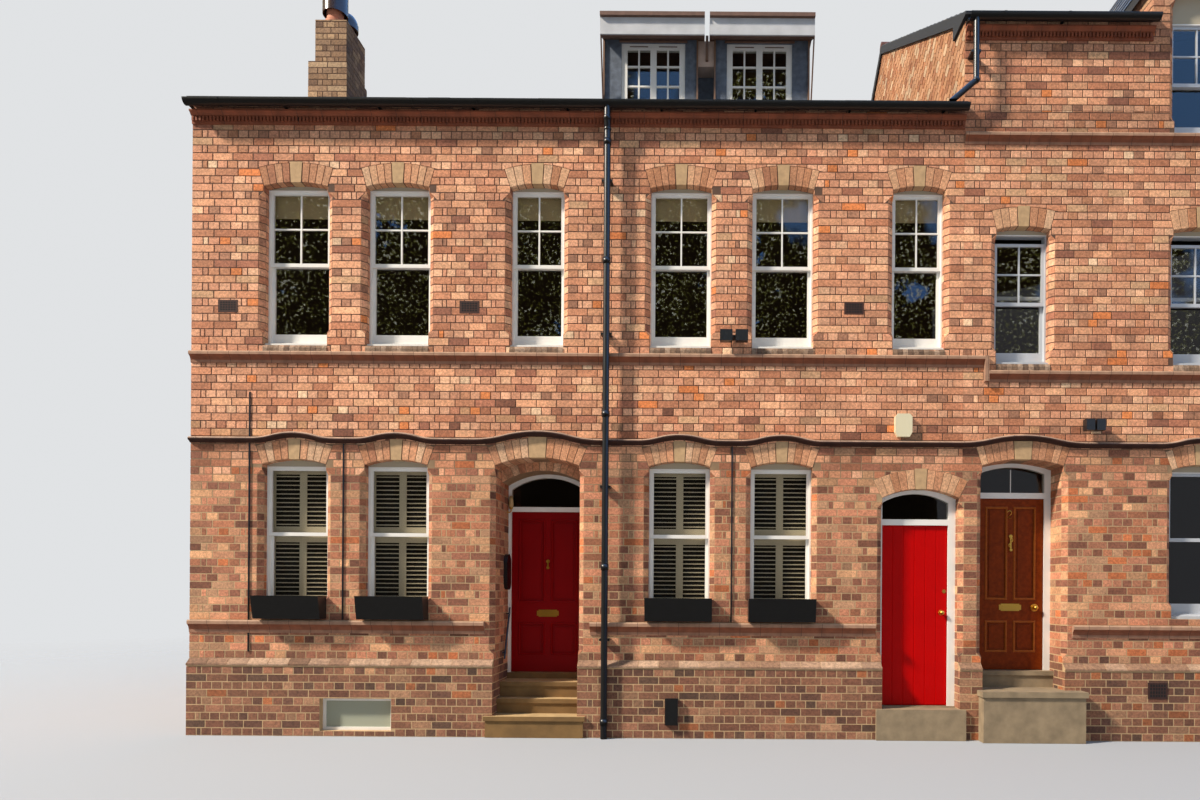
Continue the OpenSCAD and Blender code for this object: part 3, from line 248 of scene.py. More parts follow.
class Slips:
    """Gathers small pillow-faced pieces, each with its own tint."""

    def __init__(self):
        self.points, self.faces, self.tints = [], [], []

    def ring(self, foot, top, tint):
        n, start = len(foot), len(self.points)
        self.points += foot + top
        self.faces.append([start + n + i for i in range(n)])
        for i in range(n):
            j = (i + 1) % n
            self.faces.append([start + i, start + j, start + n + j, start + n + i])
        self.tints += [tint] * (2 * n)

    def add(self, plane, poly, tint, rise=4.0, edge=3.5):
        poly = [p for i, p in enumerate(poly)
                if math.hypot(p[0] - poly[i - 1][0], p[1] - poly[i - 1][1]) > 1.5]
        top = len(poly) > 2 and (inset(poly, edge) or inset(poly, edge * 0.4))
        if top:
            self.ring([plane.at(u, v, -1) for u, v in poly],
                      [plane.at(u, v, rise) for u, v in top], tint)

    def piece(self, name, mat, slot, body="row"):
        return finish_piece(name, self.points, self.faces, mat, body, self.tints)


STRETCHERS = [("#BC8464", 14), ("#C48D6A", 12), ("#B47A5A", 13), ("#CA9672", 7), ("#A86E50", 9),
              ("#B98F6C", 4), ("#99624A", 4), ("#C0703F", 1), ("#865642", 1)]
HEADERS = [("#C89474", 13), ("#C28C6C", 12), ("#CD9E7C", 6), ("#BA8264", 11), ("#D2AE8C", 1),
           ("#AE7858", 6), ("#946850", 3), ("#C67643", 1)]
WORN = [("#B87A5C", 14), ("#C08866", 10), ("#A86C4E", 12), ("#B08464", 6), ("#905C46", 8),
        ("#CA966E", 6), ("#BC6C42", 2), ("#7C4E3A", 4)]
DAMP = [("#8C5E46", 9), ("#7E523E", 9), ("#9B6A50", 6), ("#6E4A3A", 5), ("#A57A5C", 3),
        ("#644838", 2), ("#A8643E", 2)]


def pick(palette, level=1.0, spread=0.1):
    """One tint of a weighted palette, a little lighter or darker each time."""
    name = rng.choices([p[0] for p in palette], [p[1] for p in palette])[0]
    level *= 1 + rng.uniform(-spread, spread)
    return tuple(min(1.0, c * level) for c in linear(name))


def brick_tint(z, header=False):
    """Pale high up, browner at street level, dark at the foot and under the eaves."""
    if rng.random() < (1000 - z) / 300:
        return pick(DAMP, 0.86, 0.24)
    # the courses just under the eaves, and all above 8040 mm, are darker as painted shade of the
    # gutters and cornice
    eaves_shade = 0.94 if 6960 < z < 7400 or z > 8040 else 1.22
    if rng.random() < (3900 - z) / 1100:
        return pick(WORN, 0.98, 0.28)
    return pick(HEADERS if header else STRETCHERS, eaves_shade, 0.14)


# Joints are raked and thin high up, and pointed wide and nearly flush below 3.3 m
COURSE, JOINT, POINTED, POINTED_TO = 90.0, 8.5, 10.5, 3300


def bond_ends(a, b, header):
    """Where the bricks of one course begin and end along a run."""
    length = b - a
    pairs = round(length / 240)
    if length < 150:
        ends = [a, b]
    elif pairs < 2:
        count = max(1, round(length / (120 if header else 240)))
        ends = [a + length * i / count for i in range(count + 1)]
    elif header:
        steps = [0, 1, 1.5] + [1.5 + i for i in range(1, 2 * pairs - 2)]
        steps += [2 * pairs - 1, 2 * pairs]
        ends = [a + length * s / (2 * pairs) for s in steps]
    else:
        ends = [a + length * i / pairs for i in range(pairs + 1)]
    return [a] + [e + rng.uniform(-3, 3) for e in ends[1:-1]] + [b]


def lay_bricks(slips, plane, outline, holes=(), tint=brick_tint):
    """Fills an outline on a plane with English bond, cut round convex holes."""
    low, high = min(p[1] for p in outline), max(p[1] for p in outline)
    inner = sides(outline)
    for row in range(int(low // COURSE), int(math.ceil(high / COURSE))):
        za, zb = row * COURSE, row * COURSE + COURSE
        v0, v1 = max(za, low), min(zb, high)
        marks = (v0 + 2, (v0 + v1) / 2, v1 - 2)
        spans = [w for w in (width_at(outline, m) for m in marks) if w]
        if v1 - v0 < 6 or not spans:
            continue
        near = [h for h in holes if min(p[1] for p in h) < zb and max(p[1] for p in h) > za]
        cuts = []
        for h in near:
            widths = [width_at(h, m) for m in marks]
            if all(widths):
                cuts.append((max(w[0] for w in widths), min(w[1] for w in widths)))
        at, runs = min(w[0] for w in spans), []
        for a, b in sorted(c for c in cuts if c[1] > c[0]):
            if a > at + 1:
                runs.append((at, a))
            at = max(at, b)
        right = max(w[1] for w in spans)
        if right > at + 1:
            runs.append((at, right))
        rims = rims_of(near)
        pointed = za < POINTED_TO
        gap, rise, edge = (POINTED / 2, 1.8, 1.5) if pointed else (JOINT / 2, 4.0, 3.5)
        for a, b in runs:
            ends = bond_ends(a, b, row % 2 == 0)
            for i in range(len(ends) - 1):
                u0 = ends[i] + (gap if i else 0)
                u1 = ends[i + 1] - (gap if i < len(ends) - 2 else 0)
                if u1 - u0 < 12:
                    continue
                wobble = rng.uniform(-0.8, 0.8)
                poly = trim([(u0, za + gap + wobble), (u1, za + gap + wobble),
                             (u1, zb - gap + wobble), (u0, zb - gap + wobble)], inner, rims, 2)
                if poly:
                    slips.add(plane, poly, tint(za, row % 2 == 0),
                              rise * rng.uniform(0.7, 1.3), edge)


def block(x0, x1, z0, z1):
    return [(x0, z0), (x1, z0), (x1, z1), (x0, z1)]


# sill, springing, crown, sash top, meeting rail of each window level
LEVELS = {"upper": (4580, 6455, 6505, 6442, 5575), "lower": (1430, 3185, 3248, 3160, 2370),
          "tall": (4415, 6003, 6042, 5970, 5250), "top": (7130, 8770, 8840, 8490, 7790),
          "back": (7130, 8000, 8060, 7960, 7560)}
# centre and width over the low houses, where the narrow ones stand above the doors
LOW_HOUSES = [(-5254, 753), (-4055, 742), (-2415, 633), (-721, 724), (481, 726), (2081, 615)]
FRONT_WINDOWS = [(cx, w, "upper") for cx, w in LOW_HOUSES]
FRONT_WINDOWS += [(cx, w, "lower") for cx, w in LOW_HOUSES if w > 700]
FRONT_WINDOWS += [(3308, 637, "tall")] + [(5413, 680, lv) for lv in ("tall", "top", "lower")]
# centre, width, foot, springing, crown, depth of the reveal, depth of the arch
DOORS = [(-2395, 994, 0, 3188, 3286, 680, 350), (2118.5, 907, 0, 2836, 2944, 130, 130),
         (3318.5, 961, 0, 3223, 3302, 345, 345)]
RING, CHAMFER, PLINTH = 225, 55, 900
LEFT, RIGHT, BACK, STEP_X = -6470, 6470, 8600, 2608
EAVES, TALL_EAVES = 7400, 8450


def arc_of(width, rise):
    """Radius and half angle of a segmental arch."""
    radius = (width * width / 4 + rise * rise) / (2 * rise)
    return radius, math.asin(width / 2 / radius)


def arch_hole(cx, width, spring, crown):
    """The outline of an arch ring and the segment under it."""
    radius, half = arc_of(width, crown - spring)
    out = [(cx - width / 2, spring), (cx + width / 2, spring)]
    for i in range(11):
        t = half - 2 * half * i / 10
        out.append((cx + (radius + RING) * math.sin(t),
                    crown - radius + (radius + RING) * math.cos(t)))
    return out


def stops(o):
    """Foot and head of the chamfers beside an opening."""
    return (PLINTH + 60 if o[2] == 0 else o[2] + 145), o[3] - 60


front_openings = [(cx, w, *LEVELS[lv][:3], 112, 112) for cx, w, lv in FRONT_WINDOWS] + DOORS
front_holes = []
for o in front_openings:
    cx, width, sill, spring, crown = o[:5]
    foot, head = stops(o)
    front_holes += [block(cx - width / 2, cx + width / 2, sill, spring),
                    arch_hole(cx, width, spring, crown)]
    for side in (-1, 1):
        x = cx + side * width / 2
        cut = [(x, foot), (x + side * CHAMFER, foot + CHAMFER),
               (x + side * CHAMFER, head - CHAMFER), (x, head)]
        front_holes.append(cut if side > 0 else cut[::-1])

# Lime mortar is matt, painted dark high up as the shade in its raked joints, and sandy
# where it was pointed again low down. Kiln-fired bricks are matt and open, mottled within
# each face and in patches across the wall. The grain of both is drawn 5 to 6 mm wide,
# coarser than real sand, so that it shows. The plaster inside is painted dark as the
# shade of the rooms, so they stay dim behind the glass.
mortar = surface("lime mortar", "#5E4638", 0.95, mottle=0.12, mottle_mm=90, bump=1.2,
                 bump_mm=5, low=("#B89A74", 3.1))
fired_clay = surface("soft red facing brick", "#B0705A", 0.9, mottle=0.3, mottle_mm=28,
                     bump=1.0, bump_mm=6, tinted=True,
                     specks=((0.24, 9), (0.16, 320), (0.1, 1100)))
room_shade_plaster = surface("unlit plaster", "#3B362F", 0.95, mottle=0.1, mottle_mm=400)
dress("door_head_walls porch_cheeks plinth gable_wall brick_arches chimney_stack", mortar)
# the inner faces of these walls take plaster painted dark as the shade of the rooms
dress("front_walls back_wall party_walls", mortar, room_shade_plaster,
      lambda c, n: 300 < c.y < 8300 and abs(c.x) < 6460 and abs(c.x - STEP_X) > 2)

# sides, shoulder and apex of the gable over the tall house
GABLE_L, GABLE_R, SHOULDER, APEX = 4812, 6012, 8960, 10060
front = Plane((0, 0, 0), (1, 0, 0))
face_bricks = Slips()
lay_bricks(face_bricks, front, block(LEFT - 4, STEP_X, PLINTH, EAVES), front_holes)
lay_bricks(face_bricks, front, block(STEP_X, RIGHT + 4, PLINTH, EAVES), front_holes)
lay_bricks(face_bricks, front, block(STEP_X - 4, RIGHT + 4, EAVES, TALL_EAVES), front_holes)
lay_bricks(face_bricks, front,
           [(GABLE_L, TALL_EAVES), (GABLE_R, TALL_EAVES), (GABLE_R, SHOULDER),
            ((GABLE_L + GABLE_R) / 2, APEX), (GABLE_L, SHOULDER)], front_holes)
face_bricks.piece("face_brickwork", fired_clay, "red_brick")

# ---------------------------------------------------------------- plinth
# The same bricks, darker with damp, stand 60 mm out under a lipped weathering course
# of purpose-made capping bricks, and stop at each doorway.
CAP = [(0, PLINTH), (58, 848), (72, 840), (72, 822)]
CAPS = [("#9A7C66", 5), ("#8A6A54", 4), ("#AC8E76", 3), ("#785A46", 3)]
# how far the plinth stands out, the top of its wall, and the cellar light in it
PLINTH_OUT, PLINTH_WALL, CELLAR = 60, 814, block(-4906, -4073, 60, 440)


def section_at(x, shape):
    """A section of depths and heights, as points at one place along the row."""
    return [Vector((x, y, z)) * MM for y, z in shape]


plinth_bricks = Slips()
plinth_face = Plane((0, -PLINTH_OUT, 0), (1, 0, 0))
plinth_ends = [LEFT] + [o[0] + way * o[1] / 2 for o in DOORS for way in (-1, 1)] + [RIGHT]
for x0, x1 in zip(plinth_ends[::2], plinth_ends[1::2]):
    lay_bricks(plinth_bricks, plinth_face, block(x0, x1, 0, PLINTH_WALL), [CELLAR])
    count = max(1, round((x1 - x0) / 240))
    for i in range(count):
        a = x0 + (x1 - x0) * i / count + 3
        b = x0 + (x1 - x0) * (i + 1) / count - 3
        grow = 2.5 + rng.uniform(-0.6, 0.6)
        tint = pick(CAPS)
        shape = [(-y - grow, z + grow * 0.6) for y, z in CAP]
        shape.append((-PLINTH_OUT, PLINTH_WALL + 2))
        start = len(plinth_bricks.points)
        plinth_bricks.points += section_at(a, shape) + section_at(b, shape)
        for k in range(4):
            plinth_bricks.faces.append([start + k, start + 1 + k, start + 6 + k, start + 5 + k])
        plinth_bricks.faces += [[start + 4 - k for k in range(5)],
                                [start + 5 + k for k in range(5)]]
        plinth_bricks.tints += [tint] * 10
    # the returns beside a doorway
    for x, way in ((x0, -1), (x1, 1)):
        if x not in (LEFT, RIGHT):
            end = Plane((x, 0, 0), (0, way, 0))
            lay_bricks(plinth_bricks, end, block(-PLINTH_OUT, 0, 0, PLINTH_WALL) if way > 0
                       else block(0, PLINTH_OUT, 0, PLINTH_WALL))
plinth_bricks.piece("plinth_brickwork", fired_clay, "red_brick")

# ---------------------------------------------------------------- jambs and arches
# Chamfer slips with sloped stops and reveals behind them; over each opening a ring of
# orange rubbed voussoirs, about 90 mm wide, stands either side of the keystone.
ARCH = [("#C4906C", 5), ("#BC8562", 5), ("#CB9B76", 4), ("#B27B58", 3), ("#D1A784", 2),
        ("#A77052", 1)]
jamb_bricks = Slips()
for o in front_openings:
    cx, width, sill, spring, crown, depth, _ = o
    foot, head = stops(o)
    for side in (-1, 1):
        x = cx + side * width / 2
        if side < 0:
            slope = Plane((x - CHAMFER, 0, 0), (1, 1, 0))
            outline = block(0, depth, sill, spring)
            cut = [(0, foot), (CHAMFER, foot + CHAMFER), (CHAMFER, head - CHAMFER), (0, head)]
        else:
            slope = Plane((x, CHAMFER, 0), (1, -1, 0))
            outline = block(-depth, 0, sill, spring)
            cut = [(0, head), (-CHAMFER, head - CHAMFER), (-CHAMFER, foot + CHAMFER), (0, foot)]
        lay_bricks(jamb_bricks, Plane((x, 0, 0), (0, -side, 0)), outline, [cut])
        lay_bricks(jamb_bricks, slope,
                   block(0, CHAMFER * math.sqrt(2), foot + CHAMFER, head - CHAMFER))
        for z, way in ((foot, 1), (head, -1)):
            corners = [Vector((x, 0, z)), Vector((x + side * CHAMFER, 0, z + way * CHAMFER)),
                       Vector((x, CHAMFER, z + way * CHAMFER))]
            if side * way > 0:
                corners.reverse()
            out = Vector((-side, -1, way)).normalized() * 3
            jamb_bricks.ring([c * MM for c in corners], [(c + out) * MM for c in corners],
                             brick_tint(z))
jamb_bricks.piece("jamb_brickwork", fired_clay, "red_brick")


def lay_arch(slips, plane, cx, width, spring, crown, key=0, soffit=0):
    """Voussoirs of one ring on its face, and under it as deep as the reveal."""
    radius, half = arc_of(width, crown - spring)
    hub, far = crown - radius, radius + RING
    gap = math.asin(key / 2 / (radius + RING / 2)) if key else 0.0
    for t0, t1 in ([(-half, -gap), (gap, half)] if key else [(-half, half)]):
        count = max(1, round((t1 - t0) * (radius + RING / 2) / 88))
        for i in range(count):
            a, b = t0 + (t1 - t0) * i / count, t0 + (t1 - t0) * (i + 1) / count
            tint = pick(ARCH)
            poly = [(cx + r * math.sin(t + s * 2.8 / r), hub + r * math.cos(t + s * 2.8 / r))
                    for t, r, s in ((a, radius, 1), (b, radius, -1), (b, far, -1), (a, far, 1))]
            slips.add(plane, poly, tint, 4 + rng.uniform(-1, 1), 3.0)
            mid = (a + b) / 2
            under = Plane((cx + radius * math.sin(mid), 0, hub + radius * math.cos(mid)),
                          (0, 1, 0), (math.cos(mid), 0, -math.sin(mid)))
            reach, y = radius * (b - a) / 2 - 2.8, 0
            for stop in [d for d in (112, 230, 350) if d <= soffit + 20]:
                slips.add(under, block(y + 1, stop - 4, -reach, reach), tint, 3.0, 3.0)
                y = stop


arch_bricks = Slips()
for cx, width, sill, spring, crown, _, deep in front_openings:
    lay_arch(arch_bricks, front, cx, width, spring, crown, 215 if width > 950 else 145, deep)
lay_arch(arch_bricks, Plane((0, 350, 0), (1, 0, 0)), -2395, 994, 3030, 3180)
arch_bricks.piece("arch_brickwork", fired_clay, "arch_brick")

# ---------------------------------------------------------------- back and sides
# Unseen faces carry the same bond. Where the tall house rises over the low roof its
# side is hung with pointed clay tiles, in pale orange with lighter ones between.
BACK_LOW, BACK_TALL, BACK_W = (-5250, -2900, -700, 1500), (3900, 5300), 740
BACK_WINDOWS = [(cx, level) for level, places in
                (("lower", BACK_LOW + BACK_TALL), ("upper", BACK_LOW), ("tall", BACK_TALL),
                 ("back", BACK_TALL)) for cx in places]
LOW_FACE, TALL_FACE, ROOF_T = EAVES + 80, TALL_EAVES + 90, 130
LOW_T, TALL_T = math.tan(math.radians(26.5)), math.tan(math.radians(30.5))
MID = BACK / 2
back = Plane((0, BACK, 0), (-1, 0, 0))
back_bricks = Slips()
rear_holes = []
for cx, level in BACK_WINDOWS:
    sill, spring, crown = LEVELS[level][:3]
    rear_holes += [block(-cx - BACK_W / 2, -cx + BACK_W / 2, sill, spring),
                   arch_hole(-cx, BACK_W, spring, crown)]
    lay_arch(back_bricks, back, -cx, BACK_W, spring, crown)
lay_bricks(back_bricks, back, block(-STEP_X, -LEFT + 4, 0, EAVES), rear_holes)
lay_bricks(back_bricks, back, block(-RIGHT - 4, -STEP_X, 0, TALL_EAVES), rear_holes)
back_bricks.piece("back_brickwork", fired_clay, "red_brick")

# the chimney stack: its right side, its depth into the row and its foot
STACK_X, STACK_Y0, STACK_Y1, STACK_Z = -5887, 2740, 3460, 8560
side_bricks = Slips()
for x, way, face, slope, holes in (
        (LEFT, -1, LOW_FACE, LOW_T, [block(-STACK_Y1, -STACK_Y0, STACK_Z, 12000)]),
        (RIGHT, 1, TALL_FACE, TALL_T, [])):
    end = [(0, 0), (BACK, 0), (BACK, face - ROOF_T), (MID, face + MID * slope - ROOF_T),
           (0, face - ROOF_T)]
    end = [(way * u, v) for u, v in end]
    lay_bricks(side_bricks, Plane((x, 0, 0), (0, way, 0)), end[::way], holes)
for x, way in ((GABLE_R, 1), (GABLE_L, -1)):
    cheek = [(0, TALL_FACE), (way * (SHOULDER - TALL_FACE) / TALL_T, SHOULDER), (0, SHOULDER)]
    lay_bricks(side_bricks, Plane((x, 0, 0), (0, way, 0)), cheek[::way])
side_bricks.piece("side_brickwork", fired_clay, "red_brick")


def lay_tiles(slips, plane, outline, palette, holes=(), gauge=205, wide=255, thick=13, tail=0):
    """Tiles or slates in half-lapped courses, each lifted at its tail."""
    low, high = min(p[1] for p in outline), max(p[1] for p in outline)
    left, right = min(p[0] for p in outline), max(p[0] for p in outline)
    inner, rims = sides(outline), rims_of(holes)
    for row in range(int((high - low) / gauge) + 1):
        v0 = low + row * gauge
        v1 = v0 + gauge + tail + 15
        for i in range(int((right - left) / wide) + 2):
            u0 = left + i * wide - (wide / 2 if row % 2 else 0) + 1.5
            u1 = u0 + wide - 3
            poly = [(u0, v0 + tail), ((u0 + u1) / 2, v0), (u1, v0 + tail), (u1, v1), (u0, v1)]
            poly = trim(poly if tail else block(u0, u1, v0, v1), inner, rims, 0)
            if poly:
                lift = thick + rng.uniform(-1.2, 1.2)
                slips.ring([plane.at(u, v) for u, v in poly],
                           [plane.at(u, v, lift - (thick - 3) * (v - v0) / (v1 - v0))
                            for u, v in poly], pick(palette))


HUNG = [("#A87854", 8), ("#AE805E", 6), ("#9E6A48", 5), ("#B89878", 4), ("#926040", 3)]
hung_tiles = Slips()
step_side = Plane((STEP_X, 0, 0), (0, -1, 0))
for y0 in (0, BACK):
    quad = [(-y0, LOW_FACE + 5), (-MID, LOW_FACE + MID * LOW_T + 5),
            (-MID, TALL_FACE + MID * TALL_T - ROOF_T), (-y0, TALL_FACE - ROOF_T)]
    lay_tiles(hung_tiles, step_side, quad if y0 else quad[::-1], HUNG, (), 105, 165, 12, 62)
hung_tiles.piece("hung_tiles", fired_clay, "red_brick")

# ---------------------------------------------------------- stone and terracotta
# Keystones are cream sandstone. The strings are moulded brick, and the swept label course
# and the eaves pressed brown terracotta, all unglazed and laid in short lengths with dark
# joints. The pale faces of the strings and the pale top of the label are painted highlight,
# and the very dark brown of the label course, which the air bricks share, is painted shade
# deepening its own brown.
sandstone = surface("cream sandstone", "#BA9972", 0.9, mottle=0.14, mottle_mm=60, bump=0.8)
string_clay = surface("moulded brick string", "#82492F", 0.9, mottle=0.2, mottle_mm=90,
                      bump=0.8, bump_mm=6, lit_top="#AC8C74", joint_mm=240, lit_top_from=-0.3)
terracotta = surface("pressed brown terracotta", "#3C1E12", 0.8, mottle=0.25, mottle_mm=120,
                     bump=0.8, bump_mm=6, lit_top="#A08470", joint_mm=290, lit_top_from=0.1)
eaves_clay = surface("orange-brown terracotta", "#84452A", 0.8, mottle=0.25, mottle_mm=150,
                     bump=0.8, bump_mm=6, joint_mm=290)
dress("keystones", sandstone)
dress("label_course air_bricks", terracotta)
dress("lower_sill_string upper_sill_strings", string_clay)
dress("eaves_cornice", eaves_clay)


class Boxes:
    """Gathers plain boxes, given by their limits, into one mesh."""

    def __init__(self):
        self.points, self.faces = [], []

    def add(self, x0, x1, y0, y1, z0, z1):
        s = len(self.points)
        self.points += [Vector(p) * MM for p in
                        ((x0, y0, z0), (x1, y0, z0), (x1, y1, z0), (x0, y1, z0),
                         (x0, y0, z1), (x1, y0, z1), (x1, y1, z1), (x0, y1, z1))]
        self.faces += [[s + k for k in f] for f in ((0, 3, 2, 1), (4, 5, 6, 7), (0, 1, 5, 4),
                                                    (1, 2, 6, 5), (2, 3, 7, 6), (3, 0, 4, 7))]

    def piece(self, name, mat, slot, body="row", worn=0.0):
        obj = finish_piece(name, self.points, self.faces, mat, body)
        if worn:
            mod = obj.modifiers.new("worn edge", "BEVEL")
            mod.width, mod.segments = worn * MM, 2
        return obj


# each run of eaves: from, to, wall top, and whether it is at the back
EAVES_RUNS = ((LEFT, STEP_X, EAVES, False), (STEP_X, GABLE_L, TALL_EAVES, False),
              (GABLE_R, RIGHT, TALL_EAVES, False), (LEFT, STEP_X, EAVES, True),
              (STEP_X, RIGHT, TALL_EAVES, True))
DENTIL_W, DENTIL_STEP = 23, 42
dentils = Boxes()
for x0, x1, top, rear in EAVES_RUNS:
    for i in range(int((x1 - x0) / DENTIL_STEP)):
        x = x0 + 10 + DENTIL_STEP * i
        y0, y1 = (BACK + 21, BACK + 46) if rear else (-46, -21)
        dentils.add(x, x + DENTIL_W, y0, y1, top - 202, top - 150)
dentils.piece("eaves_dentils", eaves_clay, "brown_terracotta")

# Dark slots painted as the shade in the holes of the air bricks, six by four in each: centre,
# level, height and face
AIR_W = 230
slots = Boxes()
for x, z, h, y in ((-6043, 5040, 144, -7), (-3204, 5045, 144, -7), (1318, 5060, 144, -7),
                   (4885, 594, 190, -67)):
    wide, tall = (AIR_W - 40) / 6, (h - 32) / 4
    for i in range(6):
        for j in range(4):
            sx, sz = x - AIR_W / 2 + 20 + i * (AIR_W - 40) / 6, z - h / 2 + 16 + j * (h - 32) / 4
            slots.add(sx + 5, sx + wide - 5, y - 1, y + 2, sz + 5, sz + tall - 5)
painted_shade = surface("soot in the holes", "#1A1512", 0.95)
slots.piece("air_brick_holes", painted_shade, "brown_terracotta")

# ---------------------------------------------------------------- roofs
# Blue-grey slates nailed in half-lapped courses over underlay, with clay ridge tiles.
# Riven slate is matt and gives back little of the sky; unglazed ridge clay is duller.
SLATES = [("#4E525A", 6), ("#585C64", 5), ("#464A52", 4), ("#62605E", 2), ("#3E4148", 2)]
slate_face = surface("blue-grey slate", "#4E525A", 0.7, mottle=0.14, mottle_mm=200, bump=0.5,
                     bump_mm=20, tinted=True, values={"Specular IOR Level": 0.25})
ridge_clay = surface("brown ridge clay", "#5E3A30", 0.8, mottle=0.15, mottle_mm=90,
                     joint_mm=450)
dress("low_roof tall_roof gable_roof", surface("roof underlay", "#2C2D30", 0.9))
dress("ridge_tiles", ridge_clay)
# left and right of each dormer's walls and of its window
DORMERS = [(-1753, -561, -1537, -709), (-312, 887, -166, 683)]
# y of the dormer fronts, of the infill between them and of where their roofs die out
DORMER_Y, INFILL_Y, DORMER_END = 1000, 1250, 3060
# how far the slates run past the wall face
EDGE = -120
slates = Slips()
for face, t, x0, x1 in ((LOW_FACE, LOW_T, LEFT, STEP_X), (TALL_FACE, TALL_T, STEP_X - 40, RIGHT)):
    rise = math.hypot(1, t)
    run = (MID - EDGE) * rise
    if face == LOW_FACE:
        cuts = [block(a, b, (y0 - EDGE) * rise, (y1 - EDGE) * rise) for a, b, y0, y1 in
                [(d[0], d[1], DORMER_Y, DORMER_END) for d in DORMERS]
                + [(-563, -310, INFILL_Y, DORMER_END), (LEFT - 50, STACK_X, STACK_Y0, STACK_Y1)]]
    else:
        apex = ((GABLE_L + GABLE_R) / 2, ((APEX - TALL_FACE) / TALL_T - EDGE) * rise)
        cuts = [block(GABLE_L, GABLE_R, -10, 900), [(GABLE_L, 800), (GABLE_R, 800), apex]]
    lay_tiles(slates, Plane((0, EDGE, face + EDGE * t), (1, 0, 0), (0, 1, t)),
              block(x0, x1, 0, run), SLATES, cuts)
    lay_tiles(slates, Plane((0, BACK - EDGE, face + EDGE * t), (-1, 0, 0), (0, -1, t)),
              block(-x1, -x0, 0, run), SLATES)
# the gable roof: half its width, its overhangs at the sides and front, and its depth
GABLE_HALF, VERGE, GABLE_NOSE, GABLE_ROOF = 600, 70, 60, 110
GABLE_T = (APEX - SHOULDER) / GABLE_HALF
gable_run = (GABLE_HALF + VERGE) * math.hypot(1, GABLE_T)
gable_low = SHOULDER - VERGE * GABLE_T + GABLE_ROOF
deep_low, deep_top = ((z - TALL_FACE) / TALL_T for z in (gable_low, APEX + GABLE_ROOF))
lay_tiles(slates, Plane((GABLE_L - VERGE, 0, gable_low), (0, -1, 0), (1, 0, GABLE_T)),
          [(-deep_low, 0), (GABLE_NOSE, 0), (GABLE_NOSE, gable_run), (-deep_top, gable_run)],
          SLATES)
lay_tiles(slates, Plane((GABLE_R + VERGE, 0, gable_low), (0, 1, 0), (-1, 0, GABLE_T)),
          [(-GABLE_NOSE, 0), (deep_low, 0), (deep_top, gable_run), (-GABLE_NOSE, gable_run)],
          SLATES)
slates.piece("roof_slates", slate_face, "slate")

# ---------------------------------------------------------------- rainwater goods
# Half-round cast iron gutters with strap joints and round downpipes with collars. Brushed
# black paint gives them a soft sheen that is a little uneven.
black_paint = surface("black iron paint", "#17181A", 0.35, mottle=0.1, mottle_mm=50)
dress("gutters downpipes wall_fittings window_boxes", black_paint)


class Tubes:
    """Gathers round bars bent along points, and turned pieces, into one mesh."""

    def __init__(self):
        self.points, self.faces = [], []

    def add(self, path, radius, count=8):
        """A bar along a path; radius may be one number or one for each point."""
        path = [Vector(p) for p in path]
        radii = radius if isinstance(radius, (list, tuple)) else [radius] * len(path)
        start = len(self.points)
        side = None
        for i, p in enumerate(path):
            way = (path[min(i + 1, len(path) - 1)] - path[max(i - 1, 0)]).normalized()
            if side is None:
                side = way.orthogonal().normalized()
            side = (side - way * side.dot(way)).normalized()
            other = way.cross(side)
            for k in range(count):
                a = 2 * math.pi * k / count
                out = side * math.cos(a) + other * math.sin(a)
                self.points.append((p + out * radii[i]) * MM)
        for i in range(len(path) - 1):
            for k in range(count):
                j = (k + 1) % count
                a, b = start + i * count, start + (i + 1) * count
                self.faces.append([a + k, a + j, b + j, b + k])
        self.faces.append([start + count - 1 - k for k in range(count)])
        last = start + (len(path) - 1) * count
        self.faces.append([last + k for k in range(count)])

    def piece(self, name, mat, slot, body="row"):
        obj = finish_piece(name, self.points, self.faces, mat, body)
        for face in obj.data.polygons:
            face.use_smooth = len(face.vertices) == 4
        return obj


# gutter: radius, centre line and drop under the wall top; strap: outside, width, spacing
GUTTER_R, GUTTER_Y, GUTTER_DROP = 62, -152, 28
STRAP_R, STRAP_W, STRAP_STEP = 66.5, 30, 745
straps = Slips()
for x0, x1, top, rear in EAVES_RUNS:
    x = x0 + 380
    while x < x1 - 100:
        for k in range(9):
            a, b = math.pi * (1 + k / 9), math.pi * (1 + (k + 1) / 9)
            ring = []
            for r in (GUTTER_R, STRAP_R):
                for t in (a, b):
                    y, h = GUTTER_Y + r * math.cos(t), top - GUTTER_DROP + r * math.sin(t)
                    ring.append((BACK - y if rear else y, h))
            quad = [ring[0], ring[1], ring[3], ring[2]]
            straps.ring(section_at(x, quad), section_at(x + STRAP_W, quad), (0.03, 0.03, 0.032))
        x += STRAP_STEP
straps.piece("gutter_straps", black_paint, "black_iron")
# how far a downpipe stands off the wall, and the radius and height of its collars
PIPE_OFF, COLLAR_R, COLLAR_H = 114, 46, 70
collars = Tubes()
for x, y, highest in ((-1580, -PIPE_OFF, 6900), (-1580, BACK + PIPE_OFF, 6900),
                      (6070, BACK + PIPE_OFF, 7300)):
    for z in (160, 1960, 3740, 5520, highest):
        collars.add([(x, y, z), (x, y, z + COLLAR_H)], COLLAR_R, 20)
collars.piece("pipe_collars", black_paint, "black_iron")

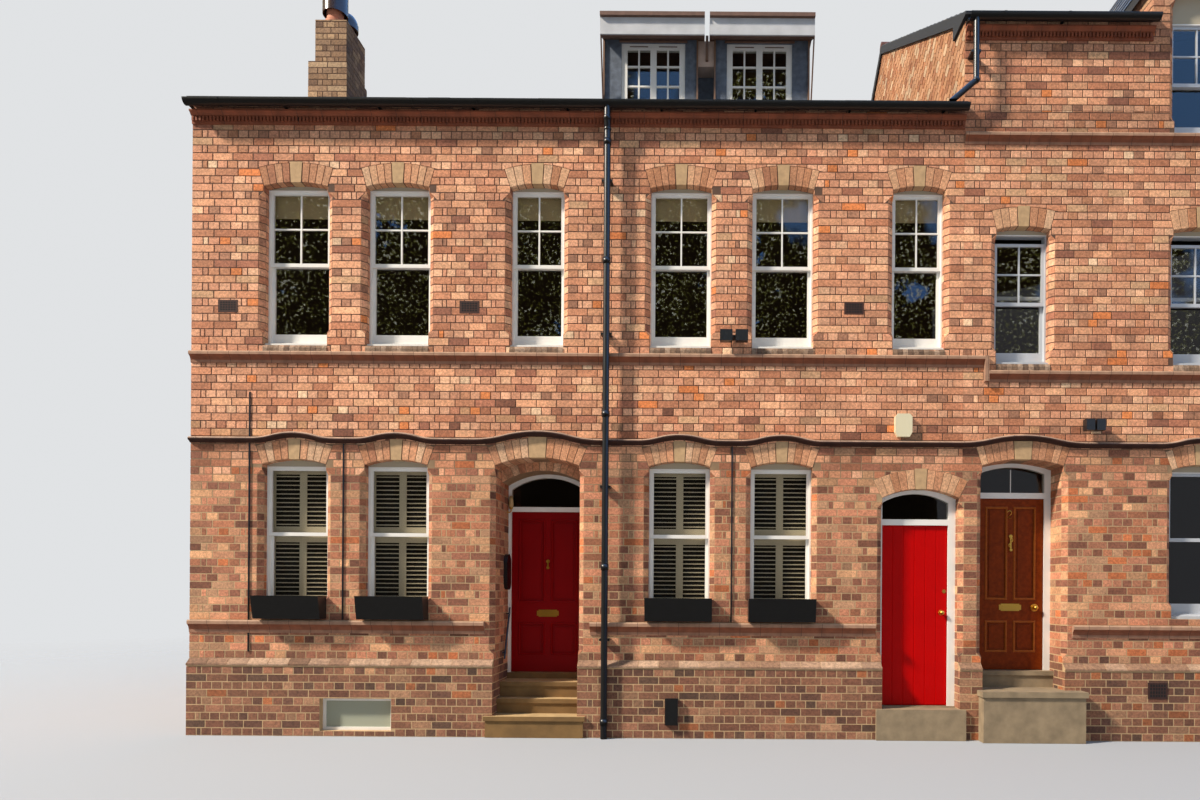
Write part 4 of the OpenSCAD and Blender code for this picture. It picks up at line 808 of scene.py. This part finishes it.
# ---------------------------------------------------------------- dormers
# Timber boxes clad in blue-grey slate, with pale fascias, a brown roof edge and white
# casements of two by three panes to each light. The slate is matt and blotched, the metal
# edge dull with weather, and the paint of the fascias has lost most of its gloss.
cladding = surface("blue-grey slate cladding", "#606874", 0.65, mottle=0.25, mottle_mm=70,
                   bump=1.5, bump_mm=30, values={"Specular IOR Level": 0.3})
felt = surface("brown metal roof edge", "#6E5142", 0.7, mottle=0.15, mottle_mm=60)
fascia_paint = surface("weathered pale fascia paint", "#BFC0C2", 0.5, mottle=0.12,
                       mottle_mm=220)
dress("dormer_walls", cladding)
dress("dormer_roofs", felt)
dress("dormer_fascias", fascia_paint, surface("brown corner board", "#7A5C46", 0.6),
      lambda c, n: c.y > 850)
boxing = surface("primed boxing timber", "#C9B0A0", 0.6, mottle=0.08, mottle_mm=90)
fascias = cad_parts["dormer_fascias"].data
fascias.materials.append(boxing)
for face in fascias.polygons:
    if face.center.y > 1.019 and -0.541 < face.center.x < -0.332:
        face.material_index = 2

# A raking bracket under each outer roof end, a drip board over each window and slots
# for air in the head of each casement
RAKE = [(694, 8742), (736, 8762), (1004, 8052), (1004, 7998), (970, 7998)]
RAKE_T = 14
brackets = Slips()
for x0 in (-1778, 921):
    start = len(brackets.points)
    brackets.ring(section_at(x0, RAKE), section_at(x0 + RAKE_T, RAKE), (1, 1, 1))
    brackets.faces.append([start + 4 - k for k in range(5)])
brackets.piece("dormer_raking_brackets", felt, "white_joinery")


def casement_lights():
    """Left edge and width of the glass in each casement of the dormers."""
    for _, _, left, right in DORMERS:
        middle = (left + right) / 2
        for x in (left + 75, middle + 40):
            yield x, middle - left - 115


drips, vents = Boxes(), Boxes()
for _, _, left, right in DORMERS:
    drips.add(left - 28, right + 28, DORMER_Y - 28, DORMER_Y + 4, 8852, 8868)
for x, wide in casement_lights():
    vents.add(x + wide * 0.1, x + wide * 0.9, 1016, 1022, 8806, 8817)
drips.piece("dormer_drip_boards", felt, "white_joinery")
vents.piece("casement_vents", felt, "white_joinery")

# ---------------------------------------------------------------- chimney
# Buff-brown stack with a set-back shaft and two pots. The pots are matt terracotta, and
# their caps are glazed clay, which is dark and shines.
STACK = [("#96765A", 6), ("#88684C", 5), ("#A48464", 4), ("#745640", 3), ("#AE9070", 1)]
# y of the two pots, their centre line, and the levels where the shaft and they begin
POT_Y0, POT_Y1, POT_X, SHAFT_Z, POT_Z = 2915, 3285, -6145, 9730, 10380
stack_bricks = Slips()
for x0, x1, y0, y1, z0, z1 in ((LEFT, STACK_X, STACK_Y0, STACK_Y1, STACK_Z, SHAFT_Z),
                               (-6380, -5907, 2770, 3430, SHAFT_Z, POT_Z)):
    for origin, along, a, b in (((x0, y0, 0), (1, 0, 0), 0, x1 - x0),
                                ((x1, y1, 0), (-1, 0, 0), 0, x1 - x0),
                                ((x0, y1, 0), (0, -1, 0), 0, y1 - y0),
                                ((x1, y0, 0), (0, 1, 0), 0, y1 - y0)):
        lay_bricks(stack_bricks, Plane(origin, along), block(a - 3, b + 3, z0, z1),
                   tint=lambda z, header: pick(STACK))
stack_bricks.piece("stack_brickwork", fired_clay, "stack_brick")
dress("chimney_pots", surface("terracotta pot", "#C27C5E", 0.75, mottle=0.12, mottle_mm=90),
      surface("dark glazed clay", "#34201E", 0.25, mottle=0.2, mottle_mm=60),
      lambda c, n: math.hypot(c.x - POT_X, min(abs(c.y - POT_Y0), abs(c.y - POT_Y1))) > 123
      and c.z > POT_Z + 50)

# ---------------------------------------------------------------- windows
# White painted softwood sashes, greyer in the tall house. Upper sashes on the upper
# floors have two by two panes; behind lie shutters below and cream blinds above.
# Brushed gloss paint has an even, soft shine, satin shutter paint less, and cloth none.
white_paint = surface("white gloss paint", "#E8E6E0", 0.35, mottle=0.03, mottle_mm=200)
grey_paint = surface("grey-white gloss paint", "#B9BDC2", 0.35, mottle=0.04, mottle_mm=200)
shutter_paint = surface("cream shutter paint", "#E6DCC4", 0.45)
# the tall house begins here
TALL_X = 2838
dress("window_frames sashes", white_paint, grey_paint, lambda c, n: c.x > TALL_X and c.y < 600)
dress("dormer_windows door_posts door_heads", white_paint)
blind_cloth = surface("cream blind cloth", "#C8B690", 0.9)
rolled = Boxes()
for cx, width, level in FRONT_WINDOWS[:6]:
    rolled.add(cx - width / 2 - 40, cx + width / 2 + 40, 222, 225, 6176, 6545)
    rolled.add(cx - width / 2 - 38, cx + width / 2 + 38, 219, 228, 6170, 6190)
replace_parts(rolled.piece("rolled_blinds", blind_cloth, "blind_cloth"), "blinds")
# the faces behind the louvres are painted near black as the shade between the slats
dress("shutters", shutter_paint, surface("shade behind louvres", "#15130F", 0.9),
      lambda c, n: abs(c.y - 235) < 3)

# Clear sheet glass: the rooms show dimly through it, and it mirrors more at a slant
clear = bpy.data.materials.new("window glass")
clear.use_nodes = True
clear.node_tree.nodes.clear()
through = add(clear, "ShaderNodeBsdfTransparent", {"Color": (0.83, 0.82, 0.79, 1)})
shine = add(clear, "ShaderNodeBsdfGlossy", {"Roughness": 0.01, "Color": (1, 1, 1, 1)})
edge_on = add(clear, "ShaderNodeFresnel", {"IOR": 1.52})
# the rear face of a pane only passes light, or it would close past 41 degrees
rear_face = add(clear, "ShaderNodeNewGeometry").outputs["Backfacing"]
front_face = add(clear, "ShaderNodeMath", {0: 1.0}, {1: rear_face}, operation="SUBTRACT")
gleam = add(clear, "ShaderNodeMath", links={0: edge_on.outputs[0], 1: front_face.outputs[0]},
            operation="MULTIPLY")
both = add(clear, "ShaderNodeMixShader", links={0: gleam.outputs[0], 1: through.outputs[0],
                                                2: shine.outputs[0]})
add(clear, "ShaderNodeOutputMaterial", links={"Surface": both.outputs[0]})
dress("window_glass", clear, surface("sanded cellar pane", "#9A9E8C", 0.6),
      lambda c, n: c.z < 450 and c.y < 60)

# Sills of clay creasing tiles, bedded on a slope in front of each timber sill
SILL_TILES = [("#8C7460", 5), ("#7C6450", 4), ("#9C8470", 3), ("#6A5444", 2)]
sill_tiles = Slips()
for cx, width, level in FRONT_WINDOWS:
    if level != "lower":
        z = LEVELS[level][0]
        foot = z - (6 if level == "top" else 70)
        shape = [(-14, foot), (-1, foot), (-1, z + 1), (34, z + 1), (34, z + 12), (0, z + 4),
                 (-14, max(foot + 3, z - 30))]
        count = round(width / 62)
        for i in range(count):
            a, b = (cx - width / 2 + width * (i + k) / count + (2, -2)[k] for k in (0, 1))
            start = len(sill_tiles.points)
            sill_tiles.ring(section_at(a, shape), section_at(b, shape), pick(SILL_TILES))
            sill_tiles.faces.append([start + k for k in range(len(shape) - 1, -1, -1)])
sill_tiles.piece("sill_tiles", fired_clay, "red_brick")

# face of the box frame, stile, y and thickness of the upper sashes, half a glazing bar
FACE, STILE, SASH_Y, SASH_D, BAR = 20, 34, 126, 34, 9
# how far the upper sashes on the middle floor of the tall house stand open
TALL_DROP = 85
bars, grey_bars = Boxes(), Boxes()
panes = [(cx, w, lv, False) for cx, w, lv in FRONT_WINDOWS if lv != "lower"]
panes += [(cx, BACK_W, lv, True) for cx, lv in BACK_WINDOWS]
for cx, width, level, rear in panes:
    top, rail = LEVELS[level][3:]
    half = width / 2 - FACE - STILE
    drop = TALL_DROP if level == "tall" and not rear else 0
    z0, z1 = rail + 21 - drop, top - STILE - drop
    y0, y1 = SASH_Y + 4, SASH_Y + SASH_D - 4
    if rear:
        y0, y1 = BACK - y1, BACK - y0
    group = grey_bars if cx > TALL_X and not rear else bars
    group.add(cx - BAR, cx + BAR, y0, y1, z0, z1)
    mid = (z0 + z1) / 2
    group.add(cx - half, cx + half, y0 + 1, y1 - 1, mid - BAR, mid + BAR)
for x, wide in casement_lights():
    bars.add(x + wide / 2 - 11, x + wide / 2 + 11, 1032, 1062, 8120, 8775)
    for z in (8305, 8561):
        bars.add(x, x + wide, 1033, 1061, z - 11, z + 11)
# the upright bar of the fanlight over the brown door
bars.add(3314, 3323, 373, 386, 2945, 3230)
bars.piece("window_bars", white_paint, "white_joinery")
grey_bars.piece("grey_window_bars", grey_paint, "white_joinery")

# Arched head boards over a bead above each sash; their weathered paint is greyer still with
# painted shade of the arch
head_boards, beads = Slips(), Boxes()
for cx, width, level in FRONT_WINDOWS:
    sill, spring, crown, top, rail = LEVELS[level]
    radius, half = arc_of(width, crown - spring)
    board = [(cx - width / 2 + 4, top + 12), (cx + width / 2 - 4, top + 12)]
    board += [(cx + (radius - 4) * math.sin(t), crown - radius + (radius - 4) * math.cos(t))
              for t in (half * (0.97 - 1.94 * k / 10) for k in range(11))]
    head_boards.ring([front.at(u, v, -111.5) for u, v in board],
                     [front.at(u, v, -108) for u, v in board], (1, 1, 1))
    beads.add(cx - width / 2 + 4, cx + width / 2 - 4, 103, 112, top, top + 12)
finish_piece("window_head_boards", head_boards.points, head_boards.faces,
             surface("weathered head board", "#AFA58E", 0.6), "row")
beads.piece("sash_head_beads", white_paint, "white_joinery")

# Louvres of the shutters behind the four windows beside the low houses' doors
LOUVRE_STEP = 51.6
louvres = Boxes()
for cx, width, level in FRONT_WINDOWS[6:10]:
    hw = width / 2 + 45
    for x0, x1 in ((cx - hw + 90, cx - 42), (cx + 42, cx + hw - 90)):
        for z0, z1 in ((1560, 2280), (2468, 3096)):
            count = round((z1 - z0) / LOUVRE_STEP)
            for i in range(count):
                z = z0 + (z1 - z0) * (i + 0.5) / count
                louvres.add(x0, x1, 225, 234, z - 6, z + 6)
louvres.piece("shutter_louvres", shutter_paint, "shutter_paint", worn=2.0)

# ---------------------------------------------------------------- doors
# A deep red and a varnished brown door with bolection-moulded panels, and between
# them a bright red one of six V-jointed boards; brass fittings on all three. The paint
# and varnish have a low shine, which keeps their colours deep; brass is a warm mirror.
DULL = {"Specular IOR Level": 0.1}
deep_red = surface("deep red door paint", "#840004", 0.35, mottle=0.05, mottle_mm=300,
                   values=DULL)
bright_red = surface("bright red door paint", "#B80000", 0.35, mottle=0.05, mottle_mm=300,
                     values=DULL)
varnished = surface("varnished brown timber", "#7A3008", 0.35, mottle=0.22, mottle_mm=40,
                    values=DULL)
varnish_edge = surface("paler varnished moulding", "#9A5220", 0.35, mottle=0.15, mottle_mm=40,
                       values=DULL)
brass = surface("lacquered brass", "#E0B050", 0.35, values={"Metallic": 1.0})
dress("panel_door_leaf", deep_red)
dress("plank_door_leaf", bright_red)
dress("brown_door_leaf", varnished)
dress("hinge_plates panel_door_brass plank_door_brass brown_door_brass", brass)
# leaf front, leaf x range, threshold, leaf head, lock rail
LEAVES = {"panel_door": (711, -2862, -1926, 685, 2708, 1440, deep_red, "deep_red_paint"),
          "brown_door": (376, 2915, 3729, 785, 2876, 1515, varnish_edge, "varnished_wood")}
MOULD = [(-14, 0), (-10, 8), (0, 11), (8, 8), (14, -3)]
for body, (y, x0, x1, z0, z1, lock, paint, slot) in LEAVES.items():
    frame_bars = Slips()
    mid = (x0 + x1) / 2
    for a, b in ((x0 + 110, mid - 50), (mid + 50, x1 - 110)):
        for c, d in ((z0 + 230, lock - 140), (lock + 140, z1 - 110)):
            start = len(frame_bars.points)
            for d_in, out in MOULD:
                frame_bars.points += [Vector((px, y - out, pz)) * MM for px, pz in
                                      block(a + d_in, b - d_in, c + d_in, d - d_in)]
            for k in range(len(MOULD) - 1):
                for i in range(4):
                    j = (i + 1) % 4
                    s = start + 4 * k
                    frame_bars.faces.append([s + i, s + j, s + 4 + j, s + 4 + i])
    finish_piece(body + "_mouldings", frame_bars.points, frame_bars.faces, paint, body)

# the boarded leaf: left edge, width, and how many boards
PLANK_X, PLANK_W, PLANKS = 1700, 781, 6
boards = Slips()
board_plane = Plane((0, 161, 0), (1, 0, 0))
for i in range(PLANKS):
    a = PLANK_X + PLANK_W * i / PLANKS
    boards.add(board_plane, block(a + 1, a + PLANK_W / PLANKS - 1, 384, 2522), (1, 1, 1), 4.0, 5.0)
finish_piece("door_boards", boards.points, boards.faces, bright_red, "plank_door")

# The house number, a bent brass rod: a bow of 25 mm radius, a slant and a foot
number = Tubes()
curve = [(3306 - 25 * math.cos(math.radians(a)), 370, 2704 + 25 * math.sin(math.radians(a)))
         for a in range(0, 211, 15)]
number.add(curve + [(3281, 370, 2640), (3334, 370, 2640)], 5, 6)
number.piece("door_number", brass, "brass", "brown_door")

# ---------------------------------------------------------------- porch and fittings
# Sandstone steps, matt, the fronts of the porch steps painted darker as their shade, two
# brass bracket lamps with frosted amber shades beside the fanlight, and a moulded cream
# alarm cover with a low shine.
dress("door_steps", surface("yellow sandstone with shaded fronts", "#B09468", 0.85, mottle=0.18,
                            mottle_mm=160, bump=1.0, bump_mm=8, shaded_front="#7A5C34"),
      surface("grey-brown sandstone", "#8E7C62", 0.85, mottle=0.2, mottle_mm=140, bump=1.0,
              bump_mm=8), lambda c, n: c.x > 0)
dress("alarm_box", surface("cream alarm cover", "#DDD3B2", 0.4))
dress("floors", surface("floor boards", "#32271C", 0.8, mottle=0.1))
frosted = surface("amber lamp glass", "#B89868", 0.4)
# how deep in the porch its lamps hang
LAMP_Y = 640
arms, shades = Tubes(), Tubes()
for x, way in ((-2892, 1), (-1898, -1)):
    c = x + way * 42
    arms.add([(x, LAMP_Y, 2700), (x + way * 6, LAMP_Y, 2700)], 24, 16)
    arms.add([(x, LAMP_Y, 2700), (x + way * 26, LAMP_Y, 2694), (c, LAMP_Y, 2712),
              (c, LAMP_Y, 2744)], 7, 8)
    arms.add([(c, LAMP_Y, z) for z in (2736, 2742, 2756)], [8, 22, 26], 16)
    shades.add([(c, LAMP_Y, z) for z in (2756, 2790, 2850, 2900)], [24, 32, 27, 20], 20)
arms.piece("porch_lamp_arms", brass, "brass")
shades.piece("porch_lamp_shades", frosted, "window_glass")

# ---------------------------------------------------------------- studio
# Pale floor and backdrop, one key lamp far off at the upper left, small enough for firm
# shadows, and a weak soft fill at the right. The panes mirror dark green clumps under a
# blue sky, which only glossy rays see, in place of the studio round the camera.
bpy.ops.mesh.primitive_plane_add(size=160, location=(0, 0, -0.002))
floor = bpy.context.object
floor.name = "studio_floor"
ground = surface("studio floor", "#A5AAB1", 0.9)
# the floor fades into the backdrop between these distances from the origin, in metres
spot = add(ground, "ShaderNodeTexCoord").outputs["Object"]
away = add(ground, "ShaderNodeVectorMath", links={0: spot}, operation="LENGTH")
fade = add(ground, "ShaderNodeMapRange", {"From Min": 9.0, "From Max": 26.0},
           {"Value": away.outputs["Value"]})
gone = add(ground, "ShaderNodeBsdfTransparent")
shader = ground.node_tree.nodes["Principled BSDF"]
veil = add(ground, "ShaderNodeMixShader", links={0: fade.outputs[0], 1: shader.outputs[0],
                                                 2: gone.outputs[0]})
dull = add(ground, "ShaderNodeBsdfDiffuse", {"Color": (*linear("#4A4640"), 1)})
ray = add(ground, "ShaderNodeLightPath")
seen_floor = add(ground, "ShaderNodeMixShader", links={0: ray.outputs["Is Glossy Ray"],
                                                       1: veil.outputs[0], 2: dull.outputs[0]})
ground.node_tree.links.new(seen_floor.outputs[0],
                           ground.node_tree.nodes["Material Output"].inputs["Surface"])
floor.data.materials.append(ground)

world = bpy.data.worlds.new("studio")
bpy.context.scene.world = world
world.use_nodes = True
world.node_tree.nodes.clear()
seen = add(world, "ShaderNodeBackground", {"Color": (*linear("#E6E8EA"), 1), "Strength": 0.95})
lit = add(world, "ShaderNodeBackground", {"Color": (*linear("#DCE6F2"), 1), "Strength": 0.4})
look = add(world, "ShaderNodeTexCoord").outputs["Generated"]
way = add(world, "ShaderNodeSeparateXYZ", links={0: look})
# the top of the dark clumps falls towards the right, where more sky is mirrored
height = add(world, "ShaderNodeMath", {1: 0.5}, {0: way.outputs["X"], 2: way.outputs["Z"]},
             operation="MULTIPLY_ADD").outputs[0]
leaves = add(world, "ShaderNodeTexNoise", {"Scale": 7.0, "Detail": 8.0}, {"Vector": look})
ragged = add(world, "ShaderNodeMath", {1: 1.3, 2: -0.65}, {0: leaves.outputs["Fac"]},
             operation="MULTIPLY_ADD")
level = add(world, "ShaderNodeMath", links={0: height, 1: ragged.outputs[0]}, operation="ADD")
line = add(world, "ShaderNodeMapRange", {"From Min": 0.57, "From Max": 0.61},
           {"Value": level.outputs[0]})
clump = add(world, "ShaderNodeTexNoise", {"Scale": 13.0, "Detail": 12.0, "Roughness": 0.72},
            {"Vector": look})
twigs = add(world, "ShaderNodeTexNoise", {"Scale": 340.0, "Detail": 2.0}, {"Vector": look})
sparse = add(world, "ShaderNodeMath", {1: 0.5, 2: -0.25}, {0: clump.outputs["Fac"]},
             operation="MULTIPLY_ADD")
thick = add(world, "ShaderNodeMath", links={0: twigs.outputs["Fac"], 1: sparse.outputs[0]},
            operation="ADD")
lit_leaf = add(world, "ShaderNodeMapRange", {"From Min": 0.54, "From Max": 0.62},
               {"Value": thick.outputs[0]})
chink = add(world, "ShaderNodeMapRange", {"From Min": 0.62, "From Max": 0.67},
            {"Value": thick.outputs[0]})
open_sky = add(world, "ShaderNodeMapRange", {"From Min": 0.6, "From Max": 0.62},
               {"Value": clump.outputs["Fac"]})
foliage = blend(world, lit_leaf.outputs[0], "#2A2014", "#A0A048")
foliage = blend(world, open_sky.outputs[0], foliage, "#6CA4F0")
foliage = blend(world, chink.outputs[0], foliage, "#F4F4EE")
# low down the panes mirror only deep shade
street = add(world, "ShaderNodeMapRange", {"From Min": 0.15, "From Max": 0.26},
             {"Value": way.outputs["Z"]})
foliage = blend(world, street.outputs[0], "#1A140E", foliage)
sky = blend(world, line.outputs[0], foliage, "#6E9CD8")
mirrored = add(world, "ShaderNodeBackground", {"Strength": 3.4}, {"Color": sky})
path = add(world, "ShaderNodeLightPath")
inner_mix = add(world, "ShaderNodeMixShader", links={0: path.outputs["Is Glossy Ray"],
                                                     1: lit.outputs[0], 2: mirrored.outputs[0]})
outer_mix = add(world, "ShaderNodeMixShader", links={0: path.outputs["Is Camera Ray"],
                                                     1: inner_mix.outputs[0], 2: seen.outputs[0]})
add(world, "ShaderNodeOutputWorld", links={"Surface": outer_mix.outputs[0]})

# name, place and width in metres, power in watts and colour of each lamp
LAMPS = (("key", (-68, -29, 63), 8, 178000, "#FFF4E4"),
         ("fill", (13, -16, 6), 12, 220, "#EEF3FF"))
LIT_POINT = Vector((0, 2, 4))
for name, place, size, power, colour in LAMPS:
    lamp = bpy.data.lights.new(name, "AREA")
    lamp.size, lamp.energy, lamp.color = size, power, linear(colour)
    holder = bpy.data.objects.new(name, lamp)
    holder.location = place
    holder.rotation_euler = (LIT_POINT - Vector(place)).to_track_quat("-Z", "Y").to_euler()
    bpy.context.scene.collection.objects.link(holder)

# The camera stands 9.4 m off at eye height, held level, with its frame raised by a shift,
# so that uprights stay upright. EYE_ROLL is how far it leans to one side, in degrees.
EYE_PLACE, EYE_ROLL = (-0.471, -9.41, 1.741), -0.38
camera = bpy.data.cameras.new("camera")
camera.lens, camera.sensor_width, camera.clip_end = 24, 36, 500
camera.shift_x, camera.shift_y = -0.0833, 0.158
eye = bpy.data.objects.new("camera", camera)
eye.location = EYE_PLACE
eye.rotation_euler = (math.radians(90), math.radians(EYE_ROLL), 0)
bpy.context.scene.collection.objects.link(eye)
bpy.context.scene.camera = eye
bpy.context.scene.view_settings.view_transform = "Standard"
